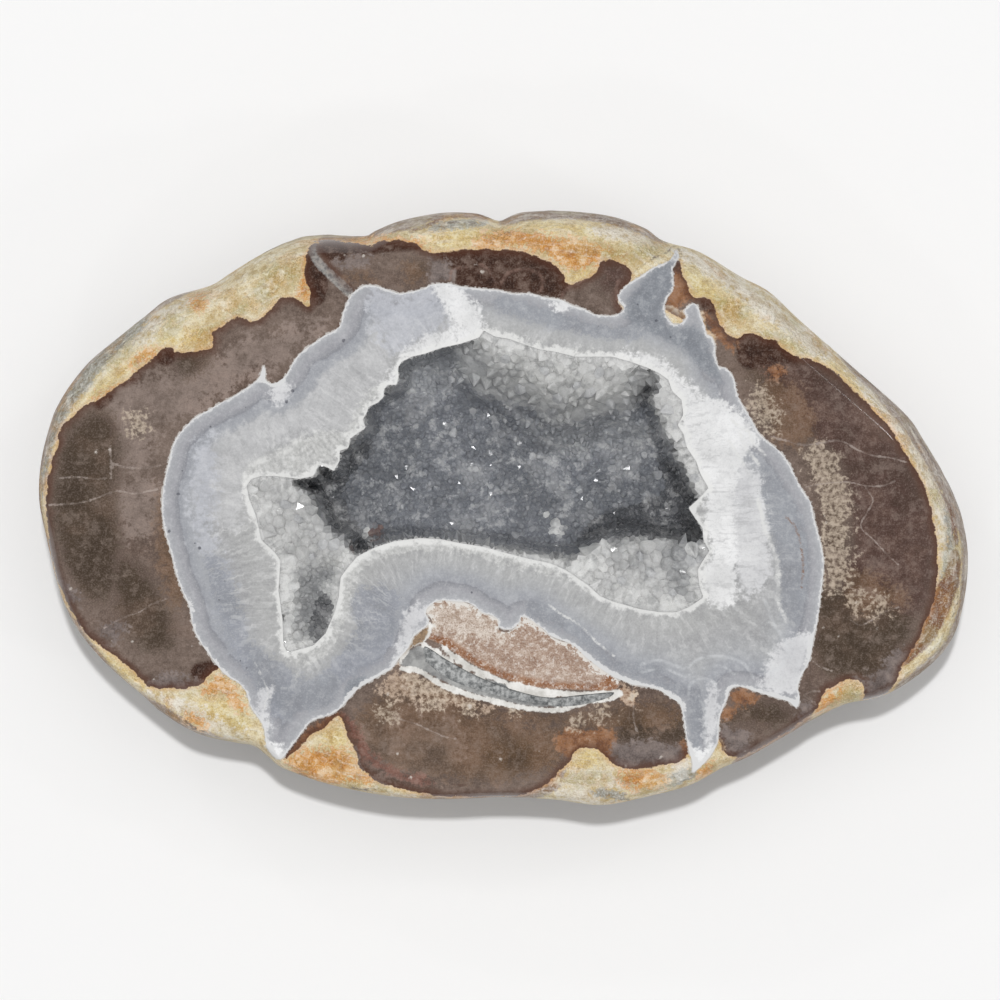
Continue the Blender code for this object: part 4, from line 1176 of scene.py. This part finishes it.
# big crystals: place in the picture and width in millimetres, before big_cell widens it
BIG = [
    (592, 562, 1.10), (577, 566, 0.80), (606, 552, 0.75), (584, 549, 0.7), (712, 580, 0.95), (640, 556, 0.6),
    (556, 524, 0.95), (547, 514, 0.55), (553, 413, 0.90), (612, 405, 0.75), (628, 402, 0.6), (658, 475, 0.7),
    (472, 411, 0.5), (453, 433, 0.75), (580, 490, 0.6), (590, 505, 0.55), (533, 456, 0.6), (550, 443, 0.5),
    (613, 468, 0.5), (457, 534, 0.7), (444, 537, 0.5), (490, 486, 0.35), (515, 535, 0.55), (640, 400, 0.5),
    (335, 545, 0.8), (300, 520, 0.7), (285, 505, 0.5), (312, 556, 0.6), (322, 545, 0.5), (650, 572, 0.7),
    (690, 560, 0.8), (672, 590, 0.6), (620, 580, 0.5), (575, 385, 0.6), (600, 372, 0.6), (668, 412, 0.8),
    (686, 442, 0.8), (694, 478, 0.8), (545, 372, 0.5), (505, 360, 0.5), (520, 390, 0.5), (378, 408, 0.3),
    (558, 400, 0.6), (590, 395, 0.5), (630, 380, 0.5), (700, 560, 0.8), (340, 462, 0.4), (676, 425, 0.7),
    (402, 545, 0.45), (362, 556, 0.5), (500, 553, 0.4), (530, 560, 0.4), (620, 430, 0.45), (645, 455, 0.4),
]
DRUSE_PATCHES = [
    ("upper_slope", 1.2, [
        [(484, 332), (520, 343), (560, 354), (612, 358), (640, 362), (656, 376), (642, 392), (632, 408),
         (596, 416), (552, 426), (530, 408), (505, 402), (478, 392), (455, 364), (466, 346)]]),
    ("shelf", 0.35, [
        [(244, 476), (292, 478), (300, 488), (310, 488), (314, 500), (322, 505), (325, 520), (330, 528),
         (340, 533), (347, 538), (344, 548), (338, 556), (322, 562), (304, 578), (298, 600), (302, 620),
         (308, 640), (300, 650), (276, 656), (276, 600), (262, 552), (246, 514)],
        [(560, 566), (572, 556), (586, 546), (606, 544), (616, 548), (630, 540), (660, 540), (690, 536),
         (716, 552), (706, 575), (706, 602), (680, 618), (640, 614), (600, 604)],
        [(375, 550), (395, 538), (440, 533), (485, 540), (530, 550), (566, 562), (590, 585), (560, 577),
         (500, 558), (440, 548)],
        [(655, 378), (657, 392), (648, 400), (652, 405), (660, 412), (661, 425), (664, 437), (674, 447),
         (670, 455), (680, 462), (684, 470), (687, 480), (691, 490), (698, 500), (712, 490), (690, 440),
         (684, 400), (668, 378)]]),
    ("shade", 0.5, [
        [(640, 388), (655, 380), (658, 392), (648, 400), (652, 406), (640, 404), (630, 398)],
        [(578, 544), (590, 522), (612, 510), (640, 502), (664, 488), (660, 460), (670, 452), (680, 466),
         (690, 490), (699, 502), (692, 508), (700, 528), (703, 538), (660, 538), (630, 538), (598, 543)],
        [(292, 480), (316, 478), (326, 468), (340, 470), (350, 452), (364, 440), (372, 450), (356, 470),
         (344, 490), (352, 520), (372, 544), (352, 552), (344, 538), (330, 528), (324, 505), (312, 490)],
        [(316, 598), (332, 596), (332, 618), (322, 640), (312, 640)]]),
    ("white_cluster", 0.3, [
        [(570, 562), (584, 546), (606, 541), (616, 550), (606, 566), (590, 574), (574, 571)],
        (366, 533, 4), (557, 530, 7), (545, 514, 4)]),
    ("bright_crystals", 0.3, [(x, y, 2) for x, y, _ in BIG]),
    ("rim_top", 0.5, [
        [(486, 330), (510, 336), (540, 344), (612, 354), (650, 366), (662, 378), (640, 376), (612, 368),
         (570, 364), (530, 358), (505, 350), (488, 344)],
        [(610, 552), (650, 548), (664, 566), (650, 590), (620, 592), (604, 572)]]),
    ("middle_slope", 2.0, [
        [(520, 420), (560, 424), (600, 416), (640, 420), (650, 440), (600, 450), (560, 460), (536, 446)],
        [(400, 366), (440, 352), (480, 345), (486, 376), (450, 392), (415, 390)]]),
    # painted shade: soft dark patches over the hollow's pockets and lower slopes, where shade falls
    ("soft_painted_shade", 2.0, [
        [(490, 415), (510, 415), (534, 446), (545, 478), (580, 505), (575, 528), (545, 512), (510, 482),
         (488, 450)],
        [(300, 480), (345, 460), (372, 430), (392, 396), (420, 420), (418, 460), (390, 500), (390, 545),
         (340, 540), (310, 500)],
        [(600, 470), (650, 440), (680, 470), (696, 520), (690, 540), (620, 536), (570, 550), (560, 530)],
        [(664, 540), (700, 532), (722, 545), (722, 590), (704, 604), (680, 600), (668, 575)],
        [(300, 574), (330, 566), (340, 585), (330, 620), (314, 640), (300, 620)]]),
]


def on_floor(points):
    """The crystal floor under plan points, as points in space, with lumps where crystals grew in bunches."""
    depth = hollow_depth(points)
    rise = lump_rise * lump(np.column_stack([points, depth]), lump_span)
    return np.column_stack([points, FACE - np.maximum(depth - rise, lip_depth)])


big_xy = (np.array([b[:2] for b in BIG]) - CENTRE) * (PIXEL, -PIXEL)
big_gap = np.array([b[2] for b in BIG]) * big_cell * MM
low, high = hollow_edge.min(0), hollow_edge.max(0)
tries = rng.uniform(low, high, (try_count, 2))
tries = tries[inside(tries, hollow_edge)]
tries = np.vstack([big_xy, tries])
from_loop = distance_to(tries, hollow_edge)[0]
ledges = DRUSE_PATCHES[0][2] + DRUSE_PATCHES[1][2]
coarse = np.clip(patches(tries, ledge_edge, ledges), 0, 1)
gaps = (fine_gap + (coarse_gap - fine_gap) * coarse) * rng.uniform(*gap_range, len(tries))
gaps[:len(BIG)] = big_gap
keep_off = from_loop > np.minimum(gaps, coarse_gap) * rim_room
cell_size = big_gap.max()
near_cells = [(a, b) for a in (-1, 0, 1) for b in (-1, 0, 1)]
taken, chosen = {}, []
for k, (x, y, gap) in enumerate(np.column_stack([tries, gaps]).tolist()):
    if not keep_off[k] and k >= len(BIG):
        continue
    cell = (int(x // cell_size), int(y // cell_size))
    around = [q for a, b in near_cells for q in taken.get((cell[0] + a, cell[1] + b), ())]
    if all((x - q[0]) ** 2 + (y - q[1]) ** 2 > ((gap + q[2]) / 2) ** 2 for q in around):
        taken.setdefault(cell, []).append((x, y, gap))
        chosen.append(k)
seats, seat_gaps = tries[chosen], gaps[chosen]

# each crystal is a pyramid: its point rises over its seat, and it meets its neighbours in the valleys
# between
loop_count = len(hollow_edge)
seat_plan = np.vstack([hollow_edge, seats])
cells = triangles_over(seat_plan, loop_edges(0, loop_count))
cells = cells[inside(seat_plan[cells].mean(1), hollow_edge)]
valley_plan = seat_plan[cells].mean(1)
valleys = on_floor(valley_plan)
tips = on_floor(seat_plan)
lift = 0.2 * MM
normals = np.column_stack([-(on_floor(seat_plan + (lift, 0)) - tips)[:, 2] / lift,
                           -(on_floor(seat_plan + (0, lift)) - tips)[:, 2] / lift, np.ones(len(tips))])
normals /= np.linalg.norm(normals, axis=1, keepdims=True)
tip_gap = np.concatenate([np.zeros(loop_count), seat_gaps])
tips += normals * (point_rise * tip_gap * rng.uniform(*point_heights, len(tips)))[:, None]
tips[:, :2] += rng.normal(size=(len(tips), 2)) * (point_lean * tip_gap)[:, None]
tips[:loop_count, 2] = FACE - rim_step
tips[:, 2] = np.minimum(tips[:, 2], FACE - rim_step)
valleys[:, 2] -= valley_fall * tip_gap[cells].max(1)
valleys[:, 2] = np.minimum(valleys[:, 2], FACE - valley_step)
at_rim = (cells < loop_count).sum(1) > 1
valleys[at_rim, 2] = FACE - valley_step

sides = {}
for number, (a, b, c) in enumerate(cells.tolist()):
    for start, end in ((a, b), (b, c), (c, a)):
        sides.setdefault((min(start, end), max(start, end)), []).append(number)
first_valley = len(tips)
top_faces, owners = [], []
for (a, b), touching in sides.items():
    if len(touching) == 2:
        v, w = (first_valley + n for n in touching)
        top_faces += [(a, v, w), (b, w, v)]
        owners += [a, b]
    else:
        top_faces.append((a, b, first_valley + touching[0]))
        owners.append(a)
under_field = lattice(hollow_edge, under_step, under_margin)
under_plan = np.vstack([hollow_edge, under_field])
under_cells = triangles_over(under_plan, loop_edges(0, loop_count))
under_cells = under_cells[inside(under_plan[under_cells].mean(1), hollow_edge)]
under_depth = hollow_depth(under_plan, crust_thickness * under_share)
under = np.column_stack([under_plan, FACE - under_depth - under_drop])
first_under = first_valley + len(valleys)
druse_points = np.vstack([tips, valleys, under])
druse_faces = top_faces + [tuple(v + first_under for v in f) for f in under_cells.tolist()]
druse_faces += [tuple(f) for f in rings_faces(0, first_under, loop_count).tolist()]
druse = new_piece("quartz_druse", druse_points, druse_faces, smooth=False)
spare = len(druse_faces) - len(owners)
owners = np.array(owners)


def write_crystal(name, values):
    """One value for each crystal, on all its faces."""
    layer = druse.data.attributes.new(name, "FLOAT", "FACE")
    layer.data.foreach_set("value", np.concatenate([values[owners], np.zeros(spare)]).astype(np.float32))


write_crystal("tone", rng.random(len(tips)))
write_crystal("below", (FACE - on_floor(seat_plan)[:, 2]) / MM)
for name, edge, shapes in DRUSE_PATCHES:
    write_crystal(name, patches(seat_plan, edge, shapes))
write_crystal("ruddy", patches(seat_plan, 0.2, [(377, 530, 6)]))
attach(druse, "root")
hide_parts("druzy_crust")
print("crystals", len(seats), "triangles", sum(len(f) - 2 for f in druse_faces))

druse_finish, t, shader, grain = new_finish("druse_quartz", 0.06, 0.9)
shader.inputs["Subsurface Weight"].default_value = 0.8
shader.inputs["Subsurface Radius"].default_value = (1.0, 1.0, 1.0)
shader.inputs["Subsurface Scale"].default_value = 1.2 * MM
below, tone = zone_value(t, "below"), zone_value(t, "tone")
wander = maths(t, "MULTIPLY_ADD", grain["patch"], 0.6, -0.3)
# painted shade: the crystals are coloured pale grey near the face and dark slate the deeper they lie in the
# hollow
clear = blend(t, ease(t, maths(t, "ADD", below, wander), 1.0, 6.5), colour("b2b2b0"), colour("7d8086"))


def tinge(name, code, strength):
    depth = maths(t, "ADD", zone_value(t, name), wander)
    return blend(t, ease(t, depth, -0.5, 0.5, 0, strength), clear, colour(code))


clear = tinge("upper_slope", "c2c2c0", 0.7)
clear = tinge("rim_top", "d6d6d5", 0.7)
clear = tinge("middle_slope", "acaeb0", 0.45)
clear = tinge("shelf", "bebebd", 0.85)
# painted shade: darkens the crystals in those pockets
clear = tinge("soft_painted_shade", "6a6d72", 0.5)
# partly the rim's white quartz, partly painted light: crystals less than a millimetre below the face are
# made near white
clear = blend(t, ease(t, below, 0.8, 0.2, 0, 0.75), clear, colour("e2e2e0"))
clear = tinge("shade", "4c4d50", 0.85)
clear = tinge("bright_crystals", "bdbec0", 0.6)
clear = tinge("white_cluster", "e4e4e2", 0.8)
clear = blend(t, ease(t, tone, 0.75, 1.0, 0, 0.18), clear, colour("dadada"))
clear = blend(t, ease(t, tone, 0.35, 0.0, 0, 0.16), clear, colour("5c5e62"))
clear = tint(t, grain, clear, "patch", 0.60, 1.0, 0.30, "dcdcdb")
clear = tint(t, grain, clear, "patch", 0.40, 0.0, 0.25, "6a6b6e")
clear = stony(t, grain, clear, "dadada", "5f6165", 0.14)
clear = tint(t, grain, clear, "cloud", 0.55, 1.0, 0.25, "cfcfcf")
clear = tint(t, grain, clear, "cloud", 0.45, 0.0, 0.25, "66686c")
clear = tinge("ruddy", "86675c", 0.6)
t.links.new(clear, shader.inputs["Base Color"])
druse.data.materials.append(druse_finish)

# The floor, the light and the camera
# A plain pale table, a small key lamp nearly over the stone, even light all round, and a long lens straight
# over the face, as the picture was taken. The polished face mirrors only the room and four small glints.
camera_height = 1.3
bpy.ops.object.select_all(action="DESELECT")
bpy.ops.mesh.primitive_plane_add(size=6, location=(0, 0, 0))
table = bpy.context.object
table.name = "table"
table_finish = bpy.data.materials.new("table")
table_finish.use_nodes = True
paint = table_finish.node_tree.nodes["Principled BSDF"]
paint.inputs["Roughness"].default_value = 0.9
paint.inputs["Base Color"].default_value = (0.90, 0.90, 0.90, 1)
table.data.materials.append(table_finish)
table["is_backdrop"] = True


def area_light(name, place, size, watts):
    data = bpy.data.lights.new(name, "AREA")
    data.size = size
    data.energy = watts
    light = bpy.data.objects.new(name, data)
    bpy.context.scene.collection.objects.link(light)
    light.location = place
    light.rotation_euler = (Vector((0, 0, FACE)) - Vector(place)).to_track_quat("-Z", "Y").to_euler()
    light.visible_camera = False
    return light


lamps = (("key", (0.0, 0.15, 2.04), 0.035, 20.0), ("softbox", (0.0, 0.1, 2.2), 1.2, 12.5))
for name, place, size, watts in lamps:
    area_light(name, place, size, watts).visible_glossy = False
for place in ((-0.42, 0.55, 1.0), (0.35, 0.28, 1.1), (-0.15, -0.50, 1.1), (0.55, -0.30, 0.9)):
    area_light("glint", place, 0.06, 0.25)

world = bpy.data.worlds.new("studio")
bpy.context.scene.world = world
world.use_nodes = True
nodes, links = world.node_tree.nodes, world.node_tree.links
room = nodes["Background"]
room.inputs["Color"].default_value = (1, 1, 1, 1)
room.inputs["Strength"].default_value = 0.28
seen = nodes.new("ShaderNodeBackground")
seen.inputs["Color"].default_value = (0.86, 0.86, 0.86, 1)
path, pick = nodes.new("ShaderNodeLightPath"), nodes.new("ShaderNodeMixShader")
links.new(path.outputs["Is Camera Ray"], pick.inputs[0])
links.new(room.outputs[0], pick.inputs[1])
links.new(seen.outputs[0], pick.inputs[2])
links.new(pick.outputs[0], nodes["World Output"].inputs["Surface"])

picture_width = 1000
seen_height = FACE - 3 * MM
camera_data = bpy.data.cameras.new("camera")
camera = bpy.data.objects.new("camera", camera_data)
bpy.context.scene.collection.objects.link(camera)
middle = (np.array((picture_width / 2, picture_width / 2)) - CENTRE) * (PIXEL, -PIXEL)
camera.location = (middle[0], middle[1], seen_height + camera_height)
camera_data.sensor_width = 36
camera_data.lens = camera_data.sensor_width * camera_height / (picture_width * PIXEL)
camera_data.clip_end = 20
bpy.context.scene.camera = camera
bpy.context.scene.view_settings.view_transform = "Standard"

low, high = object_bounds()
